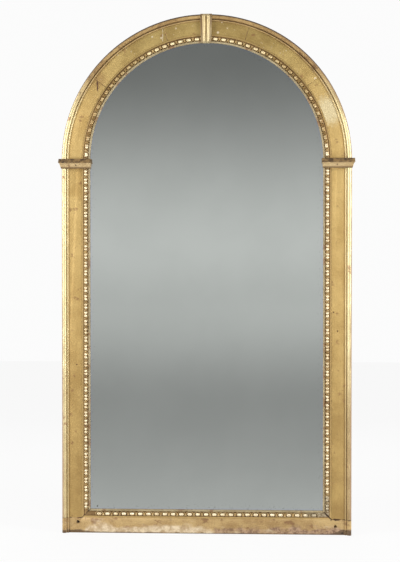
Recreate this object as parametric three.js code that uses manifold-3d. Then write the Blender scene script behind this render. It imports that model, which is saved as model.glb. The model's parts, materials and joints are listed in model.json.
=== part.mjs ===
import * as THREE from 'three';
import { mergeVertices } from 'three/addons/utils/BufferGeometryUtils.js';
import Module from 'manifold-3d';

// Arched giltwood pier mirror. Millimetres, +Z up, the front faces -Y and the wall is behind +Y.
// Places are given as "inward", the distance from the outer edge of a stile, rail or arch towards
// the glass, and "forward", the distance in front of the wall.

const wasm = await Module();
wasm.setup();

// ---- Driving dimensions -------------------------------------------------------------------------

// Overall form
const bodyWidth = 890;
const springHeight = 1150;
const memberWidth = 87;
const railHeight = 73.5;
const boardThickness = 34;
const fitGap = 0.3;
const facetAngle = THREE.MathUtils.degToRad(3.6);
const roundSides = 12;

// Joinery of the boards
const archBoards = 5;
const railShoulder = 47;
const tenonWidth = 26;
const tenonThickness = 10;
const tenonLength = 30;
const tenonInward = 27;
const jointForward = 17;
const tongueWidth = 30;
const tongueThickness = 8;
const tongueLength = 50;
const tongueInward = 34;
const fixingHoleInward = 49;
const rightHoleHeight = 26;
const leftHoleHeight = 33;
const fixingHoleRadius = 1.5;
const counterboreRadius = 3.3;
const counterboreDepth = 7;

// Rebates
const seatDepth = 4;
const glassOverlap = 10;
const backRebateWidth = 12;
const backRebateDepth = 10;

// Outer moulding: a torus, a quirk and a small bead, planted on the face of the boards
const outerFillet = 2.2;
const torusRadius = 7;
const torusSides = 6;
const quirkWidth = 1.6;
const quirkRise = 1.4;
const beadRadius = 2.4;
const beadSides = 3;
const beadFillet = 1.8;

// Sight moulding: eggs and darts between a quirk and a lip
const sightWidth = 26;
const eggPitch = 25.4;
const eggHalfLength = 8.2;
const eggHalfWidth = 7.5;
const eggCentre = 11.5;
const eggRise = 9;
const eggRowOffset = 6.5;
const splitDepth = 2.6;
const splitHalf = 3.4;
const dartRise = 5;
const dartHalf = 3.9;
const quirkDepth = 1.5;
const lipWidth = 4.2;
const lipRise = 4.2;
const lipEdgeRise = 1;
const carvingCuts = [0, 0.17, 0.35, 0.5, 0.65, 0.83];

// Capitals at the springing of the arch
const capitalDrop = 26;
const capitalHeight = 29.5;
const fasciaHeight = 16.5;
const fasciaFootSide = 1.5;
const fasciaHeadSide = 7;
const fasciaFootRise = 12;
const fasciaHeadRise = 16;
const abacusSide = 9;
const abacusSight = 4;
const fasciaSight = 2.5;
const abacusRise = 22;
const abacusBand = 2;
const abacusTopRise = 13;
const nailInward = 45;
const nailHeight = 10;
const nailShank = 1.2;
const nailHead = 2;
const nailHeadHeight = 1.2;
const nailLength = 22;

// Keystone
const keystoneRise = 1.5;
const keystoneHeadHalf = 18;
const keystoneFootHalf = 15.5;
const keystoneCrownHalf = 13;
const filletRise = 9;
const reedRise = 6;
const reedWidth = 10.5;
const reedGap = 3.4;
const reedSides = 5;
const keystoneArris = 1;
const keystoneNose = 3;
const keystoneShoulder = 9;
const footSwell = 0.6;
const noseSwell = 0.9;
const shoulderSwell = 0.8;
const crownSwell = 0.4;

// Mirror plate and the blocks that hold it
const glassThickness = 5;
const glassEdgeGap = 1.5;
const blockLength = 60;
const blockWidth = 12;
const blockDepth = 12;
const sideBlocks = 3;
const railBlocks = 2;
const archBlocks = 4;

// Backboards
const backboardThickness = 9;
const backboardCount = 7;
const backboardGap = 0.8;

// Hanging straps and rings, let into the backs of the stiles
const hangerDrop = 105;
const hangerInward = 32.5;
const pocketDepth = 10.2;
const pocketMargin = 2;
const strapWidth = 22;
const strapLength = 56;
const strapThickness = 2;
const wireRadius = 2.25;
const knuckleClearance = 0.45;
const ringHalfWidth = 15.2;
const ringArm = 14;
const ringArcSides = 8;
const wireSides = 8;
const screwInset = 9;
const screwSpacing = 26;
const screwShank = 1.7;
const screwHead = 3.3;
const screwHeadHeight = 1.6;
const screwPoint = 4;
const screwLength = 17;

// ---- Derived places -----------------------------------------------------------------------------

const halfWidth = bodyWidth / 2;
const frontReach = boardThickness + Math.max(abacusRise, filletRise + reedRise);
const sightSeat = boardThickness - seatDepth;
const faceSeat = boardThickness + fitGap;
const glassFront = sightSeat;
const glassBack = glassFront - glassThickness;
const boardEdge = memberWidth - glassOverlap;
const seatEdge = memberWidth - sightWidth;
const rebateEdge = boardEdge - backRebateWidth;
const capitalFoot = springHeight - capitalDrop;
const capitalHead = capitalFoot + capitalHeight;
const crown = springHeight + halfWidth;
const sightRadius = halfWidth - memberWidth;
const outerMouldingWidth = 2 * torusRadius + quirkWidth + 2 * beadRadius;
const cornerShift = memberWidth - railHeight;
const mitreGap = fitGap * Math.SQRT2;

// How far joined bodies run into each other, and how far cutting bodies run past what they cut.
const overrun = 1;
const beyond = 20;

// Points closer together than this are one point.
const weldDistance = 1e-4;

const hangerHeight = springHeight - hangerDrop;
const screwHeights = [0, 1].map((i) => hangerHeight - strapLength + screwInset + i * screwSpacing);

// ---- Shape helpers ------------------------------------------------------------------------------

const toX = (inward) => halfWidth - inward;

function extruded(outline, length, steps = 1, hole = null) {
  const shape = new THREE.Shape(outline.map(([x, y]) => new THREE.Vector2(x, y)));
  if (hole) shape.holes.push(hole);
  return new THREE.ExtrudeGeometry(shape, {
    depth: length, steps, bevelEnabled: false, curveSegments: roundSides,
  });
}

// A section standing upright on the right-hand side, between two heights.
function upright(section, low, high) {
  const outline = section.map(([inward, forward]) => [toX(inward), -forward]);
  return extruded(outline, high - low).translate(0, 0, low);
}

// A section laid along the bottom edge, centred on the middle of the object.
function lying(section, length) {
  const outline = section.map(([height, forward]) => [height, -forward]);
  return extruded(outline, length).translate(0, 0, -length / 2).rotateY(-Math.PI / 2);
}

// A section bent round the arch, between two angles measured from the right-hand springing.
function arched(section, from, to) {
  const steps = Math.max(1, Math.round((to - from) / facetAngle));
  const outline = section.map(([inward, forward]) => [toX(inward), -forward]);
  const bent = extruded(outline, 1, steps);
  const place = bent.attributes.position;
  for (let i = 0; i < place.count; i += 1) {
    const radius = place.getX(i);
    const angle = THREE.MathUtils.lerp(from, to, place.getZ(i));
    const height = springHeight + radius * Math.sin(angle);
    place.setXYZ(i, radius * Math.cos(angle), place.getY(i), height);
  }
  return bent;
}

// An outline drawn in elevation, as x and height, between two distances from the wall.
function slab(outline, back, front) {
  return extruded(outline, front - back).translate(0, 0, back).rotateX(Math.PI / 2);
}

// A round body turned on an axis that points forward, from pairs of radius and forward distance.
function turned(profile, x, height) {
  const points = profile.map(([radius, forward]) => new THREE.Vector2(radius, -forward));
  return outward(welded(new THREE.LatheGeometry(points, roundSides))).translate(x, 0, height);
}

function block(x, forward, height, width, thickness, tall) {
  return new THREE.BoxGeometry(width, thickness, tall).translate(x, -forward, height);
}

// One shared vertex at each point, without the faces that close up to nothing at a pole.
function welded(geometry) {
  const bare = geometry.clone();
  bare.deleteAttribute('normal');
  bare.deleteAttribute('uv');
  const merged = mergeVertices(bare, weldDistance);
  const kept = [];
  for (let i = 0; i < merged.index.count; i += 3) {
    const [a, b, c] = [0, 1, 2].map((k) => merged.index.getX(i + k));
    if (a !== b && b !== c && c !== a) kept.push(a, b, c);
  }
  merged.setIndex(kept);
  return merged;
}

function solid(geometry) {
  const shell = welded(geometry);
  return new wasm.Manifold(new wasm.Mesh({
    numProp: 3,
    vertProperties: shell.attributes.position.array,
    triVerts: Uint32Array.from(shell.index.array),
  }));
}

function surface(body) {
  const mesh = body.getMesh();
  const geometry = new THREE.BufferGeometry();
  geometry.setAttribute('position', new THREE.BufferAttribute(Float32Array.from(mesh.vertProperties), 3));
  geometry.setIndex(new THREE.BufferAttribute(Uint32Array.from(mesh.triVerts), 1));
  return geometry;
}

function cut(geometry, ...tools) {
  return surface(tools.reduce((body, tool) => body.subtract(solid(tool)), solid(geometry)));
}

function joined(geometry, ...others) {
  return surface(others.reduce((body, other) => body.add(solid(other)), solid(geometry)));
}

// Turns the faces of a closed body to point out.
function outward(geometry) {
  const index = geometry.index;
  const corner = [0, 1, 2].map(() => new THREE.Vector3());
  let volume = 0;
  for (let i = 0; i < index.count; i += 3) {
    corner.forEach((point, k) => point.fromBufferAttribute(geometry.attributes.position, index.getX(i + k)));
    volume += corner[0].dot(corner[1].cross(corner[2]));
  }
  if (volume > 0) return geometry;
  for (let i = 0; i < index.count; i += 3) {
    const second = index.getX(i + 1);
    index.setX(i + 1, index.getX(i + 2));
    index.setX(i + 2, second);
  }
  return geometry;
}

function mirrored(geometry) {
  return outward(welded(geometry).scale(-1, 1, 1));
}

// Triangles over a flat outline, wound the same way as the outline.
function flatFaces(outline) {
  const clockwise = THREE.ShapeUtils.isClockWise(outline);
  return THREE.ShapeUtils.triangulateShape(outline, []).map(([a, b, c]) => {
    const same = THREE.ShapeUtils.isClockWise([outline[a], outline[b], outline[c]]) === clockwise;
    return same ? [a, b, c] : [a, c, b];
  });
}

// A body through rings of points of equal number. Open ends are closed with flat faces.
function loft(rings, endless = false) {
  const count = rings[0].length;
  const faces = [];
  const bands = endless ? rings.length : rings.length - 1;
  for (let r = 0; r < bands; r += 1) {
    const lower = r * count;
    const upper = ((r + 1) % rings.length) * count;
    for (let i = 0; i < count; i += 1) {
      const next = (i + 1) % count;
      faces.push(lower + i, lower + next, upper + next, lower + i, upper + next, upper + i);
    }
  }
  if (!endless) {
    const last = (rings.length - 1) * count;
    const flat = rings[0].map((point) => new THREE.Vector2(point.x, point.y));
    flatFaces(flat).forEach(([a, b, c]) => faces.push(a, c, b, last + a, last + b, last + c));
  }
  const geometry = new THREE.BufferGeometry().setFromPoints(rings.flat());
  geometry.setIndex(faces);
  return outward(geometry);
}

// ---- Sections -----------------------------------------------------------------------------------

// Stile, arch board and rail: rebated in front for the sight moulding, behind for the backboards.
function boardSection(width) {
  const seat = width - sightWidth;
  const edge = width - glassOverlap;
  const rebate = edge - backRebateWidth;
  return [
    [0, 0], [0, boardThickness], [seat, boardThickness], [seat, sightSeat],
    [edge, sightSeat], [edge, backRebateDepth], [rebate, backRebateDepth], [rebate, 0],
  ];
}

function arcPoints(centre, radius, base, segments) {
  return Array.from({ length: segments + 1 }, (_, i) => {
    const angle = Math.PI * (1 - i / segments);
    return [centre + radius * Math.cos(angle), base + radius * Math.sin(angle)];
  });
}

function outerSection() {
  const torusBase = faceSeat + outerFillet;
  const quirkStart = 2 * torusRadius;
  const beadStart = quirkStart + quirkWidth;
  const beadBase = faceSeat + beadFillet;
  return [
    [0, faceSeat],
    ...arcPoints(torusRadius, torusRadius, torusBase, torusSides),
    [quirkStart, faceSeat + quirkRise],
    [beadStart, faceSeat + quirkRise],
    ...arcPoints(beadStart + beadRadius, beadRadius, beadBase, beadSides),
    [outerMouldingWidth, faceSeat],
  ];
}

// ---- Boards -------------------------------------------------------------------------------------

// Height of the mitre line where the stile meets the rail at the sight edge.
const mitreHeight = (inward) => inward - cornerShift;
const mitreStart = railShoulder + cornerShift;
const mitreEnd = memberWidth + beyond;

// Everything under the mitre and a joint's gap over it, on the right-hand side.
function belowMitre() {
  return slab([
    [toX(mitreStart), -beyond], [toX(mitreStart), railShoulder + mitreGap],
    [toX(mitreEnd), mitreHeight(mitreEnd) + mitreGap], [toX(mitreEnd), -beyond],
  ], -beyond, frontReach);
}

// Everything over the mitre and its shoulder, on the right-hand side.
function aboveMitre() {
  const top = mitreHeight(mitreEnd) + beyond;
  return slab([
    [toX(-beyond), railShoulder], [toX(mitreStart), railShoulder],
    [toX(mitreEnd), mitreHeight(mitreEnd)], [toX(mitreEnd), top], [toX(-beyond), top],
  ], -beyond, frontReach);
}

function tenon(clearance) {
  const low = railShoulder - tenonLength - clearance;
  const high = railShoulder + fitGap + overrun;
  const middle = (low + high) / 2;
  return block(
    toX(tenonInward), jointForward, middle,
    tenonWidth + 2 * clearance, tenonThickness + 2 * clearance, high - low,
  );
}

// A loose tongue across the joint at an angle of the arch, or with clearance its two mortises.
function tongue(angle, clearance) {
  const radius = toX(tongueInward);
  return new THREE.BoxGeometry(
    tongueWidth + 2 * clearance, tongueThickness + 2 * clearance, tongueLength + 2 * clearance,
  ).translate(radius, -jointForward, 0).rotateY(-angle).translate(0, 0, springHeight);
}

function stile() {
  const blank = upright(boardSection(memberWidth), railShoulder + fitGap, springHeight - fitGap);
  const screws = screwHeights.map((height) => screwBody(height, fitGap));
  const shaped = cut(
    blank, belowMitre(), tongue(0, fitGap), hangerPocket(), nailBody(fitGap), ...screws,
  );
  return joined(shaped, tenon(0));
}

// A screw hole through the rail, counterbored from the front for the screw's head.
function fixingHole(x, height) {
  const seat = boardThickness - counterboreDepth;
  return turned([
    [0, -overrun], [fixingHoleRadius, -overrun],
    [fixingHoleRadius, seat], [counterboreRadius, seat],
    [counterboreRadius, frontReach], [0, frontReach],
  ], x, height);
}

function bottomRail() {
  const right = [aboveMitre(), tenon(fitGap)];
  const left = right.map(mirrored);
  const holes = [
    fixingHole(toX(fixingHoleInward), rightHoleHeight),
    fixingHole(-toX(fixingHoleInward), leftHoleHeight),
  ];
  return cut(lying(boardSection(railHeight), bodyWidth), ...right, ...left, ...holes);
}

function archBoard(number) {
  const span = Math.PI / archBoards;
  const jointGap = fitGap / toX(boardEdge);
  const from = number * span;
  const to = from + span;
  const start = number === 0 ? from : from + jointGap / 2;
  const end = number === archBoards - 1 ? to : to - jointGap / 2;
  const blank = arched(boardSection(memberWidth), start, end);
  return cut(blank, tongue(from, fitGap), tongue(to, fitGap));
}

// ---- Capital ------------------------------------------------------------------------------------

// Plan of the capital at one height: side and sight projections and its face.
function capitalRing(height, side, sight, rise) {
  const face = -(boardThickness + rise);
  const right = toX(-side);
  const left = toX(memberWidth + sight);
  return [[right, 0], [right, face], [left, face], [left, 0]]
    .map(([x, y]) => new THREE.Vector3(x, y, height));
}

function capitalNotch() {
  const low = capitalFoot - beyond;
  const high = capitalHead + beyond;
  return upright([
    [-fitGap, -beyond], [-fitGap, faceSeat], [seatEdge + fitGap, faceSeat],
    [seatEdge + fitGap, sightSeat + fitGap], [mitreEnd, sightSeat + fitGap], [mitreEnd, -beyond],
  ], low, high);
}

function capital() {
  const step = capitalFoot + fasciaHeight;
  const fascia = loft([
    capitalRing(capitalFoot, fasciaFootSide, fasciaSight / 2, fasciaFootRise),
    capitalRing(step + overrun, fasciaHeadSide, fasciaSight, fasciaHeadRise),
  ]);
  const abacus = loft([
    capitalRing(step, abacusSide, abacusSight, abacusRise),
    capitalRing(step + abacusBand, abacusSide, abacusSight, abacusRise),
    capitalRing(capitalHead, abacusSide, abacusSight, abacusTopRise),
  ]);
  return cut(joined(fascia, abacus), capitalNotch(), nailBody(fitGap));
}

// Place of the fascia's sloping face at the height of the nail.
function nailFace() {
  return boardThickness + THREE.MathUtils.lerp(fasciaFootRise, fasciaHeadRise, nailHeight / fasciaHeight);
}

function nailBody(clearance) {
  const face = nailFace();
  const shoulder = face - nailHeadHeight - clearance;
  const tip = face - nailLength - clearance;
  const open = clearance > 0 ? face + nailHead : face;
  const shank = nailShank + clearance;
  const head = nailHead + clearance;
  return turned(
    [[0, tip], [shank, tip + shank], [shank, shoulder], [head, shoulder], [head, open], [0, open]],
    toX(nailInward), capitalFoot + nailHeight,
  );
}

// ---- Keystone -----------------------------------------------------------------------------------

const keystoneHead = crown + keystoneRise;
const keystoneFoot = springHeight + sightRadius;

function keystoneHalf(height) {
  const share = (height - keystoneFoot) / (keystoneHead - keystoneFoot);
  return THREE.MathUtils.lerp(keystoneFootHalf, keystoneHeadHalf, share);
}

// Cross-section of the two reeds and their fillets; swell draws the ends back to a rounded nose.
function keystoneRing(height, half, swell) {
  const taper = half / keystoneHeadHalf;
  const reedStart = (reedGap / 2) * taper;
  const reedHalf = (reedWidth / 2) * taper;
  const centre = reedStart + reedHalf;
  const base = faceSeat + filletRise * swell;
  const crest = reedRise * swell;
  const reed = arcPoints(centre, reedHalf, 0, reedSides)
    .map(([x, rise]) => [x, base + (rise / reedHalf) * crest]);
  const rightHalf = [...reed, [half - keystoneArris, base], [half, base - keystoneArris]];
  const leftHalf = rightHalf.map(([x, forward]) => [-x, forward]).reverse();
  return [[-half, sightSeat + fitGap], ...leftHalf, ...rightHalf, [half, sightSeat + fitGap]]
    .map(([x, forward]) => new THREE.Vector3(x, -forward, height));
}

// The wedge that the keystone takes out of the mouldings on either side.
function keystoneWedge() {
  const low = keystoneFoot - beyond;
  const high = keystoneHead + beyond;
  const foot = keystoneHalf(low) + fitGap;
  const head = keystoneHalf(high) + fitGap;
  return slab([[-foot, low], [foot, low], [head, high], [-head, high]], sightSeat, frontReach);
}

function keystone() {
  const ring = (height, swell) => keystoneRing(height, keystoneHalf(height), swell);
  const body = loft([
    ring(keystoneFoot, footSwell),
    ring(keystoneFoot + keystoneNose, noseSwell),
    ring(keystoneFoot + keystoneShoulder, 1),
    ring(crown - keystoneShoulder, 1),
    ring(crown - keystoneNose, shoulderSwell),
    keystoneRing(keystoneHead, keystoneCrownHalf, crownSwell),
  ]);
  const seatRadius = toX(seatEdge);
  const seatTop = springHeight + Math.sqrt(seatRadius ** 2 - keystoneHeadHalf ** 2) - 2 * fitGap;
  const behind = slab(
    [[-beyond, seatTop], [beyond, seatTop], [beyond, crown + beyond], [-beyond, crown + beyond]],
    0, faceSeat,
  );
  return cut(body, behind);
}

// ---- Outer mouldings ----------------------------------------------------------------------------

function stileMoulding() {
  return upright(outerSection(), railShoulder + fitGap, capitalFoot - fitGap);
}

function railMoulding() {
  return upright(outerSection(), 0, railShoulder);
}

function archMoulding() {
  const start = Math.asin((capitalHead + fitGap - springHeight) / toX(outerMouldingWidth));
  return cut(arched(outerSection(), start, Math.PI / 2), keystoneWedge());
}

// ---- Egg-and-dart sight mouldings ---------------------------------------------------------------

// Carved height over the quirk at a share of the pitch, counted from a dart, and across the moulding.
function carving(share, across) {
  const fromEgg = Math.abs(share - 0.5) * eggPitch;
  const room = 1 - (fromEgg / eggHalfLength) ** 2 - ((across - eggCentre) / eggHalfWidth) ** 2;
  const egg = eggRise * Math.sqrt(Math.max(0, room));
  const split = splitDepth * Math.max(0, 1 - fromEgg / splitHalf);
  const dart = dartRise * Math.max(0, 1 - (eggPitch / 2 - fromEgg) / dartHalf);
  return Math.max(egg - split, dart);
}

// Lines along the moulding, from its back round over the carving and the lip. Cut lines have a
// point at each carving cut and plain lines one at each dart.
function sightLines(width) {
  const outer = width - sightWidth + fitGap;
  const back = sightSeat + fitGap;
  const plain = (inward, forward) => ({ inward, cuts: [0], forward: () => forward });
  const carved = (across) => ({
    inward: outer + across,
    cuts: carvingCuts,
    forward: (share) => boardThickness + carving(share, across),
  });
  return [
    plain(outer, back),
    plain(outer, boardThickness - quirkDepth),
    carved(eggCentre - eggRowOffset),
    carved(eggCentre),
    carved(eggCentre + eggHalfWidth),
    plain(width - lipWidth, boardThickness + lipRise),
    plain(width, boardThickness + lipEdgeRise),
    plain(width, back),
  ];
}

// Triangles between two lines, each step taken on the line whose next point comes first.
function zip(lower, upper, faces) {
  const middle = (line, i) => (i < line.length - 1 ? line[i].run + line[i + 1].run : Infinity);
  let i = 0;
  let j = 0;
  while (i < lower.length - 1 || j < upper.length - 1) {
    if (middle(lower, i) <= middle(upper, j)) {
      faces.push(lower[i].id, lower[i + 1].id, upper[j].id);
      i += 1;
    } else {
      faces.push(lower[i].id, upper[j + 1].id, upper[j].id);
      j += 1;
    }
  }
}

// A moulding of a whole number of eggs. place gives the point for inward, forward and run, where
// run counts the darts passed.
function sightMoulding(width, eggs, place) {
  const points = [];
  const lines = sightLines(width).map(({ inward, cuts, forward }) => {
    const runs = Array.from({ length: eggs }, (_, egg) => cuts.map((share) => egg + share)).flat();
    return [...runs, eggs].map((run) => {
      points.push(place(inward, forward(run % 1), run));
      return { run, id: points.length - 1 };
    });
  });
  const faces = [];
  lines.forEach((line, i) => zip(line, lines[(i + 1) % lines.length], faces));
  const end = sightLines(width).map((line) => new THREE.Vector2(line.inward, line.forward(0)));
  flatFaces(end).forEach(([a, b, c]) => {
    faces.push(lines[a][0].id, lines[b][0].id, lines[c][0].id);
    faces.push(lines[a].at(-1).id, lines[c].at(-1).id, lines[b].at(-1).id);
  });
  const geometry = new THREE.BufferGeometry().setFromPoints(points);
  geometry.setIndex(faces);
  return outward(geometry);
}

const eggsIn = (length) => Math.max(1, Math.round(length / eggPitch));

function sideSightMoulding() {
  const low = mitreHeight(seatEdge);
  const high = capitalFoot - fitGap;
  const eggs = eggsIn(high - low);
  const pitch = (high - low) / eggs;
  const run = sightMoulding(memberWidth, eggs, (inward, forward, darts) => (
    new THREE.Vector3(toX(inward), -forward, low + darts * pitch)
  ));
  return cut(run, belowMitre());
}

function bottomSightMoulding() {
  const length = 2 * toX(seatEdge);
  const eggs = eggsIn(length);
  const pitch = length / eggs;
  const run = sightMoulding(railHeight, eggs, (inward, forward, darts) => (
    new THREE.Vector3(darts * pitch - length / 2, -forward, inward)
  ));
  const corner = aboveMitre();
  return cut(run, corner, mirrored(corner));
}

function archSightMoulding() {
  const from = Math.asin((capitalHead + fitGap - springHeight) / sightRadius);
  const eggRadius = toX(seatEdge + eggCentre);
  const eggs = eggsIn((Math.PI / 2 - from) * eggRadius);
  const pitch = (Math.PI / 2 - from) / eggs;
  const run = sightMoulding(memberWidth, eggs, (inward, forward, darts) => {
    const angle = from + darts * pitch;
    const height = springHeight + toX(inward) * Math.sin(angle);
    return new THREE.Vector3(toX(inward) * Math.cos(angle), -forward, height);
  });
  return cut(run, keystoneWedge());
}

// ---- Mirror plate, blocks and backboards --------------------------------------------------------

function archedOutline(inward, low) {
  const radius = toX(inward);
  const segments = Math.round(Math.PI / facetAngle);
  const arc = Array.from({ length: segments + 1 }, (_, i) => {
    const angle = (Math.PI * i) / segments;
    return [radius * Math.cos(angle), springHeight + radius * Math.sin(angle)];
  });
  return [[-radius, low], [radius, low], ...arc];
}

function mirrorPlate() {
  const low = railHeight - glassOverlap + fitGap;
  return slab(archedOutline(boardEdge + glassEdgeGap, low), glassBack, glassFront);
}

// A three-sided glue block, its long faces against the back of the glass and the board's edge.
function glassBlock() {
  const front = glassBack - fitGap;
  const outline = [[0, -front], [-blockWidth, -front], [0, -(front - blockDepth)]];
  return extruded(outline, blockLength).translate(0, 0, -blockLength / 2);
}

function glassBlocks() {
  const wall = toX(boardEdge) - fitGap;
  const low = railHeight - glassOverlap;
  const blocks = [];
  const add = (turn, x, height) => blocks.push(glassBlock().rotateY(turn).translate(x, 0, height));
  for (let i = 0; i < sideBlocks; i += 1) {
    const height = low + ((springHeight - low) * (i + 0.5)) / sideBlocks;
    add(0, wall, height);
    add(Math.PI, -wall, height);
  }
  for (let i = 0; i < railBlocks; i += 1) {
    const x = 2 * wall * ((i + 0.5) / railBlocks - 0.5);
    add(Math.PI / 2, x, low + fitGap);
  }
  const flat = wall * Math.cos(facetAngle / 2);
  const chord = Math.sqrt(flat ** 2 - (blockLength / 2) ** 2);
  for (let i = 0; i < archBlocks; i += 1) {
    const angle = (Math.PI * (i + 0.5)) / archBlocks;
    add(-angle, chord * Math.cos(angle), springHeight + chord * Math.sin(angle));
  }
  return blocks;
}

function backboards() {
  const front = backRebateDepth - fitGap;
  const edge = rebateEdge + 2 * fitGap;
  const low = railHeight - glassOverlap - backRebateWidth + fitGap;
  const high = springHeight + toX(edge);
  const tall = (high - low + backboardGap) / backboardCount;
  const panel = solid(slab(archedOutline(edge, low), front - backboardThickness, front));
  return Array.from({ length: backboardCount }, (_, i) => {
    const foot = low + i * tall;
    const middle = foot + (tall - backboardGap) / 2;
    const band = block(0, front / 2, middle, bodyWidth, boardThickness, tall - backboardGap);
    return surface(panel.intersect(solid(band)));
  });
}

// ---- Hanging straps, rings and screws -----------------------------------------------------------

const knuckleBore = wireRadius + knuckleClearance;
const knuckleRadius = knuckleBore + strapThickness;
const strapSeat = pocketDepth - fitGap;
const pinForward = strapSeat - knuckleRadius;
const ringReach = ringArm + ringHalfWidth + wireRadius;

function hangerPocket() {
  const low = hangerHeight - strapLength - pocketMargin;
  const high = hangerHeight + ringReach + pocketMargin;
  const width = 2 * (ringHalfWidth + wireRadius + pocketMargin);
  return block(
    toX(hangerInward), (pocketDepth - beyond) / 2, (low + high) / 2,
    width, pocketDepth + beyond, high - low,
  );
}

// Countersunk wood screw driven forward into the stile, its head level with the strap.
function screwBody(height, clearance) {
  const face = strapSeat - strapThickness;
  const tip = face + screwLength + clearance;
  const shank = screwShank + clearance;
  const head = screwHead + clearance;
  const open = clearance > 0 ? face - overrun : face;
  return turned([
    [0, tip], [shank, tip - screwPoint],
    [shank, face + screwHeadHeight], [head, face],
    [head, open], [0, open],
  ], toX(hangerInward), height);
}

// Strap folded round the straight side of the ring, drawn from the side and extruded across.
function hangerStrap() {
  const face = strapSeat - strapThickness;
  const rise = Math.asin((face - pinForward) / knuckleRadius);
  const sweep = Array.from({ length: roundSides + 1 }, (_, i) => {
    const angle = THREE.MathUtils.lerp(Math.PI / 2, -Math.PI - rise, i / roundSides);
    return [pinForward + knuckleRadius * Math.sin(angle), knuckleRadius * Math.cos(angle)];
  });
  const outline = [[strapSeat, -strapLength], ...sweep, [face, -strapLength]];
  const bore = new THREE.Path().absarc(pinForward, 0, knuckleBore, 0, 2 * Math.PI, true);
  const blank = extruded(outline, strapWidth, 1, bore)
    .translate(0, 0, -strapWidth / 2)
    .rotateX(Math.PI / 2)
    .rotateZ(-Math.PI / 2)
    .translate(toX(hangerInward), 0, hangerHeight);
  return cut(blank, ...screwHeights.map((height) => screwBody(height, fitGap)));
}

// The ring hangs from its straight side, which lies in the knuckle.
function hangerRing() {
  const arc = Array.from({ length: ringArcSides + 1 }, (_, i) => {
    const angle = -Math.PI * (i / ringArcSides);
    return [ringHalfWidth * Math.cos(angle), -ringArm + ringHalfWidth * Math.sin(angle)];
  });
  const path = [[ringHalfWidth, 0], ...arc, [-ringHalfWidth, 0]].map(([x, z]) => new THREE.Vector2(x, z));
  const rings = path.map((here, i) => {
    const before = path.at(i - 1);
    const after = path[(i + 1) % path.length];
    const arrive = here.clone().sub(before).normalize();
    const leave = after.clone().sub(here).normalize();
    const across = arrive.clone().add(leave).normalize();
    const stretch = 1 / across.dot(arrive);
    const side = new THREE.Vector2(across.y, -across.x).multiplyScalar(stretch);
    return Array.from({ length: wireSides }, (_, k) => {
      const angle = (2 * Math.PI * (k + 0.5)) / wireSides;
      const out = wireRadius * Math.cos(angle);
      const forward = wireRadius * Math.sin(angle);
      return new THREE.Vector3(here.x + side.x * out, -forward, here.y + side.y * out);
    });
  });
  return loft(rings, true).translate(toX(hangerInward), -pinForward, hangerHeight);
}

// ---- Assembly -----------------------------------------------------------------------------------

const finishes = {
  gilding: { color: 0xc6a566, roughness: 0.42, metalness: 0.7 },
  carvedGilding: { color: 0xd2b67a, roughness: 0.36, metalness: 0.7 },
  wornGilding: { color: 0xb79a66, roughness: 0.55, metalness: 0.5 },
  pine: { color: 0xa9835a, roughness: 0.8, metalness: 0 },
  deal: { color: 0x8d6f4c, roughness: 0.85, metalness: 0 },
  silvering: { color: 0xa3a9a8, roughness: 0.05, metalness: 1 },
  iron: { color: 0x4a433c, roughness: 0.6, metalness: 0.85 },
};

const pierMirror = new THREE.Group();
pierMirror.position.y = frontReach / 2;

function add(name, geometry, finish) {
  const mesh = new THREE.Mesh(geometry, new THREE.MeshStandardMaterial(finishes[finish]));
  mesh.name = name;
  pierMirror.add(mesh);
}

// A right-hand piece and its mirror image on the left.
function addPair(name, geometry, finish) {
  add(`right_${name}`, geometry, finish);
  add(`left_${name}`, mirrored(geometry), finish);
}

addPair('stile', stile(), 'gilding');
add('bottom_rail', bottomRail(), 'wornGilding');
for (let i = 0; i < archBoards; i += 1) {
  add(`arch_board_${i + 1}`, archBoard(i), 'gilding');
}
for (let i = 0; i <= archBoards; i += 1) {
  add(`arch_tongue_${i + 1}`, tongue((Math.PI * i) / archBoards, 0), 'pine');
}
add('keystone', keystone(), 'carvedGilding');
addPair('capital', capital(), 'gilding');
addPair('capital_nail', nailBody(0), 'iron');

addPair('stile_moulding', stileMoulding(), 'carvedGilding');
addPair('rail_moulding', railMoulding(), 'wornGilding');
addPair('arch_moulding', archMoulding(), 'carvedGilding');
addPair('sight_moulding', sideSightMoulding(), 'carvedGilding');
addPair('arch_sight_moulding', archSightMoulding(), 'carvedGilding');
add('bottom_sight_moulding', bottomSightMoulding(), 'wornGilding');

add('mirror_plate', mirrorPlate(), 'silvering');
glassBlocks().forEach((geometry, i) => add(`glass_block_${i + 1}`, geometry, 'pine'));
backboards().forEach((geometry, i) => add(`backboard_${i + 1}`, geometry, 'deal'));

addPair('hanger_strap', hangerStrap(), 'iron');
addPair('hanger_ring', hangerRing(), 'iron');
screwHeights.forEach((height, i) => {
  addPair(`hanger_screw_${i + 1}`, screwBody(height, 0), 'iron');
});

export default pierMirror;
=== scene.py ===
"""Looks of the arched pier mirror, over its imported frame: carved and burnished gilding worn to bole and
gesso, grey silvering, bare timber at the back and brown iron. Metres, +Z up, the front faces -Y."""

import json
import math

import bmesh
import bpy
from mathutils import Matrix, Vector


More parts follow.
